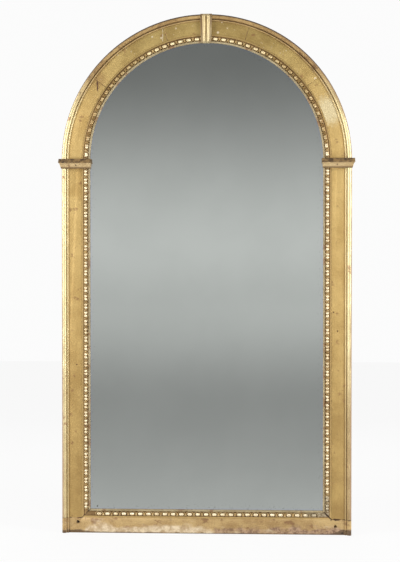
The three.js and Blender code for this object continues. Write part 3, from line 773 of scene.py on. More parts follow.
def carved_gilding(place, shader):
    """Painted highlights on the egg tops; brown ground and lower parts, darker as painted shade; umber dirt
    and painted shade in the grooves; and a dull lip.
    """
    at = use(member, Vector=place)
    along, sight = at["Along"], at["Sight"]
    up = outward(place)[1]
    x, y, _ = split(place)
    ragged = noise(place, 240.0, 3.0, 0.6) * (1.6 * MM) + (FACE - y)
    raised = between(ragged, -0.2 * MM, 0.8 * MM)
    flank = between(ragged, 2.6 * MM, 4.6 * MM)
    # Painted highlights on the highest parts of the eggs
    crest_highlight = between(ragged, 4 * MM, 6.8 * MM)
    wear = noise(at["Vector"], 7.0, 4.0, 0.65)
    high = between(at["Rise"], 0.1, 0.24) * between(at["Rise"], 0.42, 0.34)
    light = mixed(high, tone(218, 190, 134), tone(206, 180, 126))
    deep = mixed(high, tone(184, 152, 98), tone(176, 148, 96))
    gold = gold_leaf(at["Vector"], light, deep, BOLE, 0.2)
    # Low on the arch the eggs turn away from the light: painted shade dims them and keeps few highlights
    # there
    dull = between(along, 0.02, 0.09) * between(along, 0.46, 0.38)
    # Where the painted highlights are kept: a random share of them, and only scattered ones low on the arch
    painted_glints = between(noise(place, 170.0, 3.0, 0.6), 0.52, 0.64, 0.04, 0.6)
    kept = between(noise(at["Vector"], 55.0, 3.0, 0.6), 0.36, 0.52, 0.45, 1.0)
    kept = kept * ramped(dull, 0.0, 1.0, 1.0, painted_glints)
    # Painted shade over the worn gold low on the arch
    worn = mixed(dull * 0.4, gold["Color"], tone(150, 122, 74))
    colour = mixed(crest_highlight * kept, worn, mixed(high, PAINTED_HIGHLIGHT, PAINTED_CROWN_HIGHLIGHT))
    # Lower parts of the eggs and the ground: brown, partly as painted shade, deeper towards the crown
    sunk = mixed(between(wear, 0.35, 0.6), tone(126, 96, 58), tone(156, 126, 80))
    colour = mixed(flank, mixed(high * 0.6, sunk, tone(112, 84, 46)), colour)
    bare = between(x, 0.28, 0.325) * between(sight, -MM, MM) * maths("LESS_THAN", along, -1.03)
    chalky = mottled(place, 140.0, 4.0, 0.7, 0.1, tone(112, 96, 72), tone(200, 188, 160))
    colour = mixed(bare * 0.7, colour, chalky)
    # Below the face, in the grooves: umber dirt and painted shade
    groove = mixed(between(wear, 0.4, 0.6), UMBER_AND_SHADE, tone(132, 100, 60))
    colour = mixed(raised, groove, colour)
    fillet = CARVED_WIDTH - FILLET_END
    frieze_gold = mixed(high, tone(194, 162, 104), tone(176, 148, 92))
    colour = mixed(between(sight, fillet, fillet + 0.8 * MM), colour, frieze_gold)
    lip = between(sight, LIP_WIDTH + 0.6 * MM, LIP_WIDTH - 0.4 * MM)
    lip_gold = gold_leaf(at["Vector"], tone(182, 166, 130), tone(146, 128, 92), BOLE, 0.3)
    colour = mixed(lip, colour, lip_gold["Color"])
    # Faces that look up: dust and painted shade
    colour = mixed(up * 0.2, colour, DUST_AND_SHADE)
    colour = mixed(corner_joint(place, 2 * MM), colour, SOOT_AND_SHADE)
    gild(shader, colour, raised * (1.0 - lip * 0.7), 0.66, 0.28, gold["Height"])


def rail_colour(place):
    """Colour, gilt and height of the lowest rail: brown gold above, bared gesso below on the left,
    bole below on the right."""
    x, _, z = split(place)
    gold = gold_leaf(on_end(place), tone(204, 174, 120), tone(166, 134, 86), tone(128, 90, 60), 0.25)
    lowness = between(z, 34 * MM, 4 * MM)
    left = between(x, 0.04, -0.02) * between(x, -0.385, -0.36)
    cover = lowness * between(left, 0.0, 1.0, 0.22, 1.25)
    bared = islands(scaled(place, 0.4, 1.0, 1.0), 42.0, cover, 0.1)
    chalk = mottled(place, 60.0, 5.0, 0.7, 0.15, tone(178, 152, 116), tone(222, 204, 172))
    colour = mixed(bared, gold["Color"], chalk)
    cover = lowness * between(x, 0.0, 0.06, 0.15, 0.95)
    scuffed = islands(scaled(place, 0.5, 1.0, 1.0), 60.0, cover, 0.1)
    bole = mottled(place, 70.0, 5.0, 0.7, 0.12, tone(118, 90, 68), tone(178, 148, 118))
    colour = mixed(scuffed * (1.0 - bared), colour, bole)
    return colour, 1.0 - either(bared, scuffed), gold["Height"]


def worn_gilding(place, shader):
    """The rail, the feet of the outer moulding and their undersides."""
    front, _, rear = outward(place)
    colour, gilt, height = rail_colour(place)
    x, _, z = split(place)
    across = use(member, Vector=place)["Across"]
    left_dirt = between(x, -0.34, -0.4, 0.0, 6 * MM)
    right_dirt = between(x, 0.38, 0.42, 0.0, 13 * MM)
    frayed = noise(place, 90.0, 4.0, 0.65) * (8 * MM) + (z - 4 * MM)
    dirt = between(frayed - (left_dirt + right_dirt + 3 * MM), 1.5 * MM, -1.5 * MM)
    colour = mixed(dirt * 0.85, colour, tone(88, 68, 46))
    colour = mixed(corner_joint(place, 1.8 * MM), colour, SOOT_AND_SHADE)
    colour = mixed(spots(place, RAIL_SPOTS), colour, tone(30, 22, 14))
    edge = mixed(islands(place, 30.0, 0.5), tone(160, 130, 96), tone(188, 160, 114))
    colour = mixed(either(front, between(across, OUTER_WIDTH, 0.0)), edge, colour)
    wood = board_timber(place)
    colour = mixed(rear, colour, wood["Color"])
    height = mixed(rear, height, wood["Height"])
    gild(shader, colour, gilt * front, 0.72, 0.46, height, 0.2 * MM, 0.3)


def capital_gilding(place, shader):
    """Pale gold on the fascia, with painted shade at its foot, under a cap that is dark with old dirt, and
    with dust and painted shade where faces look up.
    """
    _, up, rear = outward(place)
    z = split(place)[2]
    gold = gold_leaf(on_end(place), tone(216, 190, 142), tone(186, 158, 112), BOLE, 0.25)
    step = CAPITAL_LOW.z + FASCIA_HEIGHT
    # Painted shade at the undercut foot of the fascia
    foot = between(z, CAPITAL_LOW.z + 6.5 * MM, CAPITAL_LOW.z + 3 * MM)
    colour = mixed(foot * 0.75, gold["Color"], DUST_AND_SHADE)
    # The cap, and faces that look up: old dirt and painted shade
    cap = between(z, step - 0.8 * MM, step + 0.6 * MM)
    dirt = mottled(place, 60.0, 4.0, 0.65, 0.12, tone(74, 54, 30), tone(136, 108, 66))
    colour = mixed(either(cap, up), colour, dirt)
    colour = mixed(rear, colour, board_timber(on_end(place))["Color"])
    gild(shader, colour, 1.0 - either(cap, rear), 0.68, 0.4, gold["Height"])


def keystone_gilding(place, shader):
    """Pale gold reeds with dirt and painted shade in the groove between them and beside them."""
    up = outward(place)[1]
    x, y, z = split(place)
    gold = gold_leaf(place, tone(232, 212, 164), tone(206, 184, 134), BOLE, 0.15)
    # In the groove and beside the reeds: dirt and painted shade
    hollow = between(FACE - KEYSTONE_BODY_RISE - y, 3.4 * MM, 0.2 * MM)
    aside = between(absolute(x), 7 * MM, 12 * MM, 0.25, 1.0)
    grime_and_shade = between(noise(scaled(place, 1.0, 1.0, 0.2), 90.0, 3.0), 0.3, 0.6, 0.55, 1.0)
    colour = mixed(hollow * grime_and_shade * aside, gold["Color"], tone(134, 108, 72))
    low = between(z, KEYSTONE_HIGH.z - 30 * MM, KEYSTONE_LOW.z)
    colour = mixed(low * 0.35, colour, tone(186, 168, 128))
    # Faces that look up: dust and painted shade
    colour = mixed(up * 0.3, colour, DUST_AND_SHADE)
    gild(shader, colour, 1.0 - hollow, 0.66, 0.34, gold["Height"])


def silvering(place, shader):
    """Old silvering: grey, faintly clouded, bluer beside the lip and specked along the edge."""
    sight = use(member, Vector=place)["Sight"]
    colour = mottled(place, 4.0, 3.0, 0.5, 0.15, tone(210, 215, 211), tone(214, 219, 215))
    rim = between(sight, -9 * MM, -1 * MM)
    colour = mixed(rim * 0.6, colour, tone(206, 212, 224))
    fox = islands(place, 230.0, 0.2) * between(sight, -26 * MM, -2 * MM)
    specks = either(fox * 0.3, spots(place, GLASS_SPOTS))
    colour = mixed(specks, colour, tone(92, 88, 78))
    finish_surface(shader, colour, between(specks, 0.0, 1.0, 0.02, 0.4), 1.0)


def backboard_deal(place, shader):
    """Rough deal; the grain starts afresh in each board."""
    x, y, z = split(place)
    count = (z - PANEL_LOW) / PANEL_PITCH
    board = maths("FLOOR", count)
    laid = put("CombineXYZ", X=board * 1.37 + x, Y=board * 0.61 + y, Z=board * 0.083 + z)
    tint = put("TexWhiteNoise", settings={"noise_dimensions": "1D"}, W=board)
    light = mixed(tint, tone(168, 132, 92), tone(146, 112, 76))
    dark = mixed(tint, tone(120, 88, 58), tone(100, 72, 48))
    wood = use(timber, Vector=laid, Light=light, Dark=dark)
    stain = between(noise(place, 5.0, 4.0, 0.6), 0.45, 0.7)
    colour = mixed(stain * 0.35, wood["Color"], tone(82, 62, 44))
    from_joint = (0.5 - absolute(maths("FRACT", count) - 0.5)) * PANEL_PITCH
    soiled = between(noise(place, 30.0, 3.0) * (5 * MM) + from_joint, 7 * MM, 2.5 * MM)
    colour = mixed(soiled * 0.7, colour, tone(58, 44, 30))
    finish_surface(shader, colour, 0.85, 0.0, wood["Height"], 0.3 * MM)


def bare_pine(place, shader):
    wood = board_timber(place)
    finish_surface(shader, wood["Color"], 0.8, 0.0, wood["Height"])


def old_iron(place, shader):
    rust = islands(place, 170.0, 0.5, 0.08)
    forged = noise(place, 480.0, 3.0)
    colour = mixed(forged, tone(64, 56, 50), tone(92, 82, 72))
    colour = mixed(rust * 0.8, colour, tone(118, 76, 48))
    roughness = between(rust, 0.0, 1.0, 0.45, 0.8)
    finish_surface(shader, colour, roughness, between(rust, 0.0, 1.0, 0.75, 0.1), forged)


FRIEZE = made(frieze_gilding)
MOULDED = made(moulded_gilding)
CARVED = made(carved_gilding)
WORN = made(worn_gilding)
CAPITAL_GOLD = made(capital_gilding)
KEYSTONE_GOLD = made(keystone_gilding)
SILVER = made(silvering)
PINE = made(bare_pine)
DEAL = made(backboard_deal)
IRON = made(old_iron)

# ---- Outer mouldings ----------------------------------------------------------------------------


def half_round(centre, base, radius, steps):
    """A round stretch of a section, as distances inward and forward."""
    turns = [math.pi * (1 - i / steps) for i in range(steps + 1)]
    return [(centre + radius * math.cos(turn), base + radius * math.sin(turn)) for turn in turns]


def torus_and_bead():
    bead_start = 2 * TORUS + QUIRK_WIDTH
    return [
        (0, FIT), *half_round(TORUS, FILLET, TORUS, 16),
        (2 * TORUS, QUIRK_RISE), (bead_start, QUIRK_RISE),
        *half_round(bead_start + BEAD, BEAD_FILLET, BEAD, 8),
        (bead_start + 2 * BEAD, FIT),
    ]


def section_on_right(section, level):
    return [(HALF_WIDTH - inward, FACE - forward, level) for inward, forward in section]


def upright_run(section, low, high):
    piece = draw_outline(section_on_right(section, low))
    pull((0, 0, high - low))
    facing_out()
    return piece


def arched_run(section):
    """A section spun a quarter turn up from the right-hand springing."""
    piece = draw_outline(section_on_right(section, SPRING))
    bpy.ops.mesh.spin(
        steps=ARCH_STEPS, angle=math.pi / 2, center=(0, 0, SPRING), axis=(0, 1, 0),
    )
    merge_doubles()
    facing_out()
    return piece


def trim_arch():
    """Cuts an arched run off above the capital and beside the keystone."""
    slice_off((0, 0, CAPITAL_HIGH.z + FIT), (0, 0, -1))
    side = keystone_half(KEYSTONE_LOW.z) + FIT
    slope = keystone_half(KEYSTONE_HIGH.z) + FIT - side
    slice_off((side, 0, KEYSTONE_LOW.z), (KEYSTONE_LOW.z - KEYSTONE_HIGH.z, 0, slope))
    facing_out()


def keystone_half(height):
    share = (height - KEYSTONE_LOW.z) / (KEYSTONE_HIGH.z - KEYSTONE_LOW.z)
    return KEYSTONE_FOOT_HALF + (KEYSTONE_HEAD_HALF - KEYSTONE_FOOT_HALF) * share


def outer_mouldings():
    section = torus_and_bead()
    stile = settle(upright_run(section, SHOULDER + FIT, CAPITAL_LOW.z - FIT))
    dress_pair(stile, "torus_and_bead", MOULDED, "carved_gilding", "stile_moulding")
    foot = settle(upright_run(section, 0, SHOULDER))
    dress_pair(foot, "foot_torus_and_bead", WORN, "worn_gilding", "rail_moulding")
    arch = arched_run(section)
    trim_arch()
    dress_pair(settle(arch), "arch_torus_and_bead", MOULDED, "carved_gilding", "arch_moulding")


outer_mouldings()

# ---- Egg-and-dart -------------------------------------------------------------------------------


def lobe(offset):
    """Half of an egg, which is split at its middle into two round lobes."""
    piece = begin(
        bpy.ops.mesh.primitive_uv_sphere_add, segments=14, ring_count=9, radius=1,
        location=(offset, 0, EGG_CENTRE), rotation=(0, math.pi / 2, 0),
        scale=(LOBE_HALF_WIDTH, LOBE_RISE, LOBE_HALF_LENGTH),
    )
    slice_off((0, -GROUND / 2, 0), (0, 1, 0))
    return settle(piece)


def cup():
    """The husk around an egg: a rounded rim, open towards the frieze."""
    piece = begin(
        bpy.ops.mesh.primitive_torus_add, major_segments=28, minor_segments=8,
        major_radius=CUP_HALF_LENGTH, minor_radius=CUP_RIM,
        location=(0, -GROUND, EGG_CENTRE), rotation=(math.pi / 2, 0, 0),
    )
    bpy.ops.transform.resize(
        value=(1, (CUP_RISE - GROUND) / CUP_RIM, CUP_HALF_WIDTH / CUP_HALF_LENGTH),
        center_override=(0, -GROUND, EGG_CENTRE),
    )
    slice_off((0, 0, CUP_OPENING), (0, 0, -1))
    slice_off((0, -GROUND / 2, 0), (0, 1, 0))
    return settle(piece)


def dart():
    """A slim dart between two eggs, its point towards the glass."""
    length = DART_END - DART_START
    piece = begin(
        bpy.ops.mesh.primitive_cone_add, vertices=8, radius1=DART_HALF, radius2=DART_HALF / 6,
        depth=length, location=(EGG_PITCH / 2, -GROUND, DART_START + length / 2),
    )
    bpy.ops.transform.resize(
        value=(1, DART_RISE / DART_HALF, 1), center_override=(EGG_PITCH / 2, -GROUND, 0),
    )
    slice_off((0, -GROUND / 2, 0), (0, 1, 0))
    return settle(piece)


def carved_bed():
    """Section under the carving: fillet, groove, ground and lip, as distances inward and forward."""
    seat = -4 * MM + FIT
    groove = FILLET_END + 0.8 * MM
    ground = groove + 1.7 * MM
    lip = CARVED_WIDTH - LIP_WIDTH
    return [
        (FIT, seat), (FIT, 0), (FILLET_END, 0), (groove, -GROOVE_DEPTH), (groove + 0.7 * MM, -GROOVE_DEPTH),
        (ground, GROUND - MM), (ground + 1.2 * MM, GROUND), (lip - 2.4 * MM, GROUND),
        (lip - 1.6 * MM, 0.2 * MM), (lip - 0.6 * MM, 0.2 * MM), (lip + 0.4 * MM, LIP_RISE - MM),
        (lip + 1.4 * MM, LIP_RISE), (lip + 2.8 * MM, LIP_RISE - 0.5 * MM),
        (lip + 4.2 * MM, 0.5 * LIP_RISE), (CARVED_WIDTH, 0.6 * MM), (CARVED_WIDTH, seat),
    ]


def bed_on_stile():
    return [(SIGHT_EDGE + inward, forward) for inward, forward in carved_bed()]


def laid_unit(unit, x, z, turn=0):
    """A copy of a unit with its foot at x and z on the boards' face, turned about the axis forward."""
    return placed_copy(unit, Matrix.Translation((x, FACE, z)) @ Matrix.Rotation(turn, 4, "Y"))


def side_units(unit):
    """Copies of a unit up the right-hand stile."""
    low = SIGHT_SILL - CARVED_WIDTH
    high = CAPITAL_LOW.z
    count = round((high - low) / EGG_PITCH)
    pitch = (high - low) / count
    edge = HALF_WIDTH - SIGHT_EDGE
    return [laid_unit(unit, edge, low + (i + 0.5) * pitch, -math.pi / 2) for i in range(1, count)]


def bottom_units(unit):
    """Copies of a unit along the sill, centred."""
    half = SIGHT_HALF - 8 * MM
    count = 2 * round(half / EGG_PITCH) - 1
    edge = SIGHT_SILL - CARVED_WIDTH
    return [laid_unit(unit, (i - (count - 1) / 2) * EGG_PITCH, edge) for i in range(count)]


def arch_units(unit):
    """Copies of a unit up the right-hand quarter of the arch."""
    start = math.asin((CAPITAL_HIGH.z - SPRING) / SIGHT_HALF)
    radius = HALF_WIDTH - SIGHT_EDGE - ARCH_UNIT_SHIFT
    stop = math.pi / 2 - math.asin(keystone_half(KEYSTONE_LOW.z) / (radius - EGG_CENTRE))
    count = round((stop - start) * (radius - EGG_CENTRE) / EGG_PITCH)
    step = (stop - start) / count
    angles = [start + (i + 0.5) * step for i in range(count)]
    return [
        laid_unit(unit, radius * math.cos(angle), SPRING + radius * math.sin(angle), -math.pi / 2 - angle)
        for angle in angles
    ]


def egg_and_dart(offset):
    """One pitch of the carving, with the lobes of its egg at this distance from its middle."""
    return join_pieces([lobe(-offset), lobe(offset), cup(), dart()])


def sight_mouldings():
    unit = egg_and_dart(SPLIT_OFFSET)
    bed = upright_run(bed_on_stile(), SIGHT_SILL - CARVED_WIDTH, CAPITAL_LOW.z - FIT)
    slice_off((SIGHT_HALF + FIT, 0, SIGHT_SILL), (-1, 0, -1))
    side = join_pieces([settle(bed), *side_units(unit)])
    dress_pair(side, "egg_and_dart", CARVED, "carved_gilding", "sight_moulding")
    bpy.data.objects.remove(unit)

    unit = egg_and_dart(JOINED_OFFSET)
    bed = arched_run(bed_on_stile())
    trim_arch()
    arch = join_pieces([settle(bed), *arch_units(unit)])
    dress_pair(arch, "arch_egg_and_dart", CARVED, "carved_gilding", "arch_sight_moulding")

    edge = SIGHT_HALF + CARVED_WIDTH
    foot = SIGHT_SILL - CARVED_WIDTH
    bed = draw_outline([(-edge, FACE - forward, foot + inward) for inward, forward in carved_bed()])
    pull((2 * edge, 0, 0))
    slice_off((SIGHT_HALF, 0, SIGHT_SILL), (1, 0, 1))
    slice_off((-SIGHT_HALF, 0, SIGHT_SILL), (-1, 0, 1))
    facing_out()
    bottom = join_pieces([settle(bed), *bottom_units(unit)])
    dress(bottom, "sill_egg_and_dart", CARVED, "worn_gilding", "bottom_sight_moulding")
    bpy.data.objects.remove(unit)


sight_mouldings()

# ---- Keystone -----------------------------------------------------------------------------------


def keystone_block():
    """Drawn from the side with its nose rounded, pulled across and sliced to its taper."""
    front = FACE - KEYSTONE_BODY_RISE
    seat = KEYSTONE_HIGH.y
    rest = FACE - FIT
    foot, head = KEYSTONE_LOW.z, KEYSTONE_HIGH.z
    seat_top = SPRING + SIGHT_HALF + CARVED_WIDTH - MM
    nose = [(front + back * MM, foot + up * MM) for back, up in KEYSTONE_NOSE]
    shoulder = [(front + back * MM, head - down * MM) for back, down in KEYSTONE_SHOULDER]
    side = [(seat, foot), *nose, *shoulder, (rest, head), (rest, seat_top), (seat, seat_top)]
    piece = draw_outline([(-KEYSTONE_HEAD_HALF, y, z) for y, z in side])
    pull((2 * KEYSTONE_HEAD_HALF, 0, 0))
    lean = (KEYSTONE_HEAD_HALF - KEYSTONE_FOOT_HALF) / (head - foot)
    slice_off((KEYSTONE_FOOT_HALF, 0, foot), (1, 0, -lean))
    slice_off((-KEYSTONE_FOOT_HALF, 0, foot), (-1, 0, -lean))
    facing_out()
    soften(settle(piece), KEYSTONE_EASE)
    return piece


def keystone_reed(side):
    """A round reed with a rounded nose at each end, half sunk in the block and narrower at its foot."""
    centre = side * (REED_GAP + REED_WIDTH) / 2
    front = FACE - KEYSTONE_BODY_RISE
    foot = KEYSTONE_LOW.z + REED_FOOT
    head = KEYSTONE_HIGH.z - REED_HEAD
    middle = (foot + head) / 2
    reach = (head - foot - REED_WIDTH) / 2
    piece = begin(
        bpy.ops.mesh.primitive_uv_sphere_add, segments=24, ring_count=14, radius=REED_WIDTH / 2,
        location=(centre, front, middle), scale=(1, 2 * REED_RISE / REED_WIDTH, 1),
    )
    choose(piece, lambda point: point.z > middle - 0.01 * MM)
    shift((0, 0, reach))
    choose(piece, lambda point: point.z < middle)
    shift((0, 0, -reach))
    taper = KEYSTONE_FOOT_HALF / KEYSTONE_HEAD_HALF
    bpy.ops.transform.resize(value=(taper, 1, 1), center_override=(0, front, middle))
    return settle(piece)


def keystone():
    piece = keystone_block()
    for side in (-1, 1):
        merge_in(piece, keystone_reed(side))
    dress(piece, "reeded_keystone", KEYSTONE_GOLD, "carved_gilding", "keystone", smooth=35)


keystone()

# ---- Capitals -----------------------------------------------------------------------------------

FASCIA_HEAD = Vector((7, 16, 2.5)) * MM
FASCIA_FOOT = Vector((1.5, 12, 1.2)) * MM
CAP_REACH = Vector((9, 22, 4)) * MM
CAP_TOP_RISE = 13 * MM
CAP_BAND = 2 * MM
CAP_HOLLOW = 1.6 * MM
NAIL_INWARD = 45 * MM
NAIL_HEIGHT = 10 * MM
NAIL_HEAD = 2.2 * MM
NAIL_HOLE_LENGTH = 30 * MM
CAPITAL_EASE = 0.9 * MM


def capital_block(reach, low, high):
    """A block round the stile that stands out by its side, front and sight reach."""
    side, front, sight = reach
    return box_between((SIGHT_HALF - sight, FACE - front, low), (HALF_WIDTH + side, BACK, high))


def capital_fascia(step):
    """The lower block, drawn in towards its foot."""
    foot = CAPITAL_LOW.z
    piece = capital_block(FASCIA_HEAD, foot, step + MM)
    drawn = FASCIA_HEAD - FASCIA_FOOT
    front = FACE - FASCIA_HEAD.y
    at_foot = foot + MM / 10
    choose(piece, lambda point: point.z < at_foot and point.y < front + MM)
    shift((0, drawn.y, 0))
    choose(piece, lambda point: point.z < at_foot and point.x > HALF_WIDTH)
    shift((-drawn.x, 0, 0))
    choose(piece, lambda point: point.z < at_foot and point.x < SIGHT_HALF)
    shift((drawn.z, 0, 0))
    return settle(piece)


def capital_cap(step):
    """The upper block: a thin band, then a hollow slope back to the board."""
    head = CAPITAL_HIGH.z
    piece = capital_block(CAP_REACH, step, head)
    band = step + CAP_BAND
    middle = (band + head) / 2
    for level in (band, middle):
        bpy.ops.mesh.select_all(action="SELECT")
        bpy.ops.mesh.bisect(plane_co=(0, 0, level), plane_no=(0, 0, 1))
    front = FACE - CAP_REACH.y
    slope = CAP_REACH.y - CAP_TOP_RISE
    choose(piece, lambda point: point.z > head - MM / 10 and point.y < front + MM)
    shift((0, slope, 0))
    choose(piece, lambda point: abs(point.z - middle) < MM / 10 and point.y < front + MM)
    shift((0, slope / 2 + CAP_HOLLOW, 0))
    return settle(piece)


def capital():
    step = CAPITAL_LOW.z + FASCIA_HEIGHT
    piece = capital_fascia(step)
    merge_in(piece, capital_cap(step))
    low, high = CAPITAL_LOW.z - MM, CAPITAL_HIGH.z + MM
    seat_edge = SIGHT_HALF + CARVED_WIDTH - FIT
    board = box_between((seat_edge, FACE - FIT, low), (HALF_WIDTH + FIT, BACK + MM, high))
    hollow_out(piece, settle(board))
    seat = box_between((SIGHT_HALF - 20 * MM, KEYSTONE_HIGH.y, low), (seat_edge + MM, BACK + MM, high))
    hollow_out(piece, settle(seat))
    soften(piece, CAPITAL_EASE)
    hole = begin(
        bpy.ops.mesh.primitive_cylinder_add, vertices=16, radius=NAIL_HEAD, depth=NAIL_HOLE_LENGTH,
        location=(HALF_WIDTH - NAIL_INWARD, FACE - FASCIA_HEAD.y, CAPITAL_LOW.z + NAIL_HEIGHT),
        rotation=(math.pi / 2, 0, 0),
    )
    hollow_out(piece, settle(hole))
    dress_pair(piece, "capital_block", CAPITAL_GOLD, "gilding", "capital")


capital()

# ---- Boards, with their arrises softened --------------------------------------------------------

BOARD_EASE = 0.7 * MM
RAIL_EASE = 0.8 * MM
PANEL_EASE = 0.5 * MM
PANELS = 7


def eased_copy(node, width):
    """A copy of a frame piece with its faces merged, its arrises softened and its back kept flat."""
    object_mode()
    piece = placed_copy(frame["nodes"][node], Matrix())
    piece.parent = None
    take(piece)
    open_up(piece)
    merge_doubles()
    bpy.ops.mesh.dissolve_limited(angle_limit=math.radians(0.5))
    object_mode()
    soften(piece, width, angle=30)
    choose(open_up(piece), lambda point: point.y > BACK)
    bpy.ops.transform.resize(value=(1, 0, 1), center_override=(0, BACK, 0))
    object_mode()
    return piece


def dress_board(node, name, ease, finish, slot):
    dress(eased_copy(node, ease), name, finish, slot, node)


for side in ("right", "left"):
    dress_board(f"{side}_stile", f"{side}_board", BOARD_EASE, FRIEZE, "gilding")
for i in range(1, 6):
    dress_board(f"arch_board_{i}", f"arch_segment_{i}", BOARD_EASE, FRIEZE, "gilding")
dress_board("bottom_rail", "sill_board", RAIL_EASE, WORN, "worn_gilding")
for i in range(1, PANELS + 1):
    dress_board(f"backboard_{i}", f"back_panel_{i}", PANEL_EASE, DEAL, "deal")

# ---- Hanging gear -------------------------------------------------------------------------------

STRAP_LOW, STRAP_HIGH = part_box("right_hanger_strap")
RING_LOW, RING_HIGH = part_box("right_hanger_ring")
WIRE = 2.15 * MM
RING_CORNER = 3.2 * MM
KNUCKLE_BORE = 2.65 * MM
KNUCKLE_BORE_LENGTH = 40 * MM
STRAP_THICKNESS = 2 * MM
STRAP_EASE = 0.35 * MM
SCREW_SLOT = 0.9 * MM
SCREW_SLOT_LENGTH = 12 * MM
SCREW_SHANK = 1.7 * MM
SCREW_HEAD_HEIGHT = 1.6 * MM
SCREW_POINT = 4 * MM
SCREW_TIP_SHARE = 0.15
SCREW_LEANS = {"right": (0.5, -0.9), "left": (1.2, 0.2)}
NAIL_INSET = 6 * MM
PANEL_NAIL = 2.6 * MM
PANEL_NAIL_RISE = 0.5 * MM
PIN = Vector(next(
    joint["pos_m"] for joint in frame["joints"] if joint["name"] == "right_ring_swing"
))


def hanging_ring():
    """A ring of round wire swept from its straight side, which lies in the strap's knuckle."""
    x, y, z = PIN
    half = RING_HIGH.x - x - WIRE
    arm = z - RING_LOW.z - half - WIRE
    turn = {"axis": (0, 1, 0)}
    piece = begin(
        bpy.ops.mesh.primitive_circle_add, vertices=14, radius=WIRE,
        location=(x + half, y, z - RING_CORNER),
    )
    corner = half - RING_CORNER
    bpy.ops.mesh.spin(steps=6, angle=math.pi / 2, center=(x + corner, y, z - RING_CORNER), **turn)
    pull((-2 * corner, 0, 0))
    bpy.ops.mesh.spin(steps=6, angle=math.pi / 2, center=(x - corner, y, z - RING_CORNER), **turn)
    pull((0, 0, RING_CORNER - arm))
    bpy.ops.mesh.spin(steps=28, angle=math.pi, center=(x, y, z - arm), **turn)
    pull((0, 0, arm - RING_CORNER))
    merge_doubles(2 * MERGE)
    facing_out()
    return settle(piece)


def hanging_strap():
    """An iron strap folded round the ring's straight side and countersunk for two screws."""
    x, y, z = PIN
    seat = STRAP_LOW.y
    face = seat + STRAP_THICKNESS
    radius = y - seat
    last = -math.acos((face - y) / radius)
    steps = 28
    turns = [math.pi + (last - math.pi) * i / steps for i in range(steps + 1)]
    side = [
        (seat, STRAP_LOW.z), *((y + radius * math.cos(a), z + radius * math.sin(a)) for a in turns),
        (face, STRAP_LOW.z),
    ]
    piece = draw_outline([(STRAP_LOW.x, across, height) for across, height in side])
    pull((STRAP_HIGH.x - STRAP_LOW.x, 0, 0))
    facing_out()
    settle(piece)
    bore = begin(
        bpy.ops.mesh.primitive_cylinder_add, vertices=24, radius=KNUCKLE_BORE, depth=KNUCKLE_BORE_LENGTH,
        location=PIN, rotation=(0, math.pi / 2, 0),
    )
    hollow_out(piece, settle(bore))
    soften(piece, STRAP_EASE, steps=1, angle=50)
    for i in (1, 2):
        hollow_out(piece, screw_body(f"right_hanger_screw_{i}", FIT))
    return piece


def screw_body(node, clearance):
    """A tapered head, a shank and a point, driven forward into the stile."""
    low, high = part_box(node)
    middle = (low + high) / 2
    head = (high.x - low.x) / 2 + clearance
    shank = SCREW_SHANK + clearance
    piece = begin(
        bpy.ops.mesh.primitive_cone_add, vertices=20, radius1=head, radius2=shank,
        depth=SCREW_HEAD_HEIGHT, rotation=(math.pi / 2, 0, 0),
        location=(middle.x, high.y - SCREW_HEAD_HEIGHT / 2, middle.z),
    )
    neck = high.y - SCREW_HEAD_HEIGHT
    choose(piece, lambda point: point.y < neck + MM / 10, faces=True)
    pull((0, low.y + SCREW_POINT - neck, 0))
    pull((0, -SCREW_POINT, 0))
    bpy.ops.transform.resize(
        value=(SCREW_TIP_SHARE, 1, SCREW_TIP_SHARE), center_override=(middle.x, low.y, middle.z),
    )
    if clearance:
        choose(piece, lambda point: point.y > high.y - MM / 10, faces=True)
        pull((0, MM, 0))
    return settle(piece)


def wood_screw(node, name, lean):
    piece = screw_body(node, 0)
    low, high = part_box(node)
    slot = begin(
        bpy.ops.mesh.primitive_cube_add, size=1, rotation=(0, lean, 0),
        location=((low.x + high.x) / 2, high.y, (low.z + high.z) / 2),
        scale=(SCREW_SLOT_LENGTH, 2 * SCREW_SLOT, SCREW_SLOT),
    )
    hollow_out(piece, settle(slot))
    dress(piece, name, IRON, "iron", node)


def hanging_gear():
    dress_pair(hanging_strap(), "iron_strap", IRON, "iron", "hanger_strap")
    dress_pair(hanging_ring(), "iron_ring", IRON, "iron", "hanger_ring", ("right_ring", "left_ring"))
    for side, leans in SCREW_LEANS.items():
        for i, lean in enumerate(leans, 1):
            wood_screw(f"{side}_hanger_screw_{i}", f"{side}_strap_screw_{i}", lean)


hanging_gear()


def panel_nails():
    """Four flat nail heads in each backboard, over the ledge that carries it."""
    panel_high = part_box("backboard_1")[1]
    edge = panel_high.x - NAIL_INSET
    heads = []
    for i in range(1, PANELS + 1):
        low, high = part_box(f"backboard_{i}")
        for share in (0.25, 0.75):
            level = low.z + share * (high.z - low.z)
            rise = max(level - SPRING, 0)
            reach = math.sqrt(edge ** 2 - rise ** 2)
            heads += [Vector((side * reach, panel_high.y, level)) for side in (-1, 1)]
    model = begin(
        bpy.ops.mesh.primitive_uv_sphere_add, segments=8, ring_count=6, radius=PANEL_NAIL,
        location=(0, 0, 0), rotation=(math.pi / 2, 0, 0), scale=(1, 1, PANEL_NAIL_RISE / PANEL_NAIL),
    )
    slice_off((0, -PANEL_NAIL_RISE / 4, 0), (0, -1, 0))
    settle(model)
    nails = join_pieces([placed_copy(model, Matrix.Translation(place)) for place in heads])
    bpy.data.objects.remove(model)
    dress(nails, "panel_nails", IRON, "iron")


panel_nails()

# ---- Carried-over pieces ------------------------------------------------------------------------


def recoat(node, finish):
    frame["nodes"][node].data.materials.clear()
    frame["nodes"][node].data.materials.append(finish)


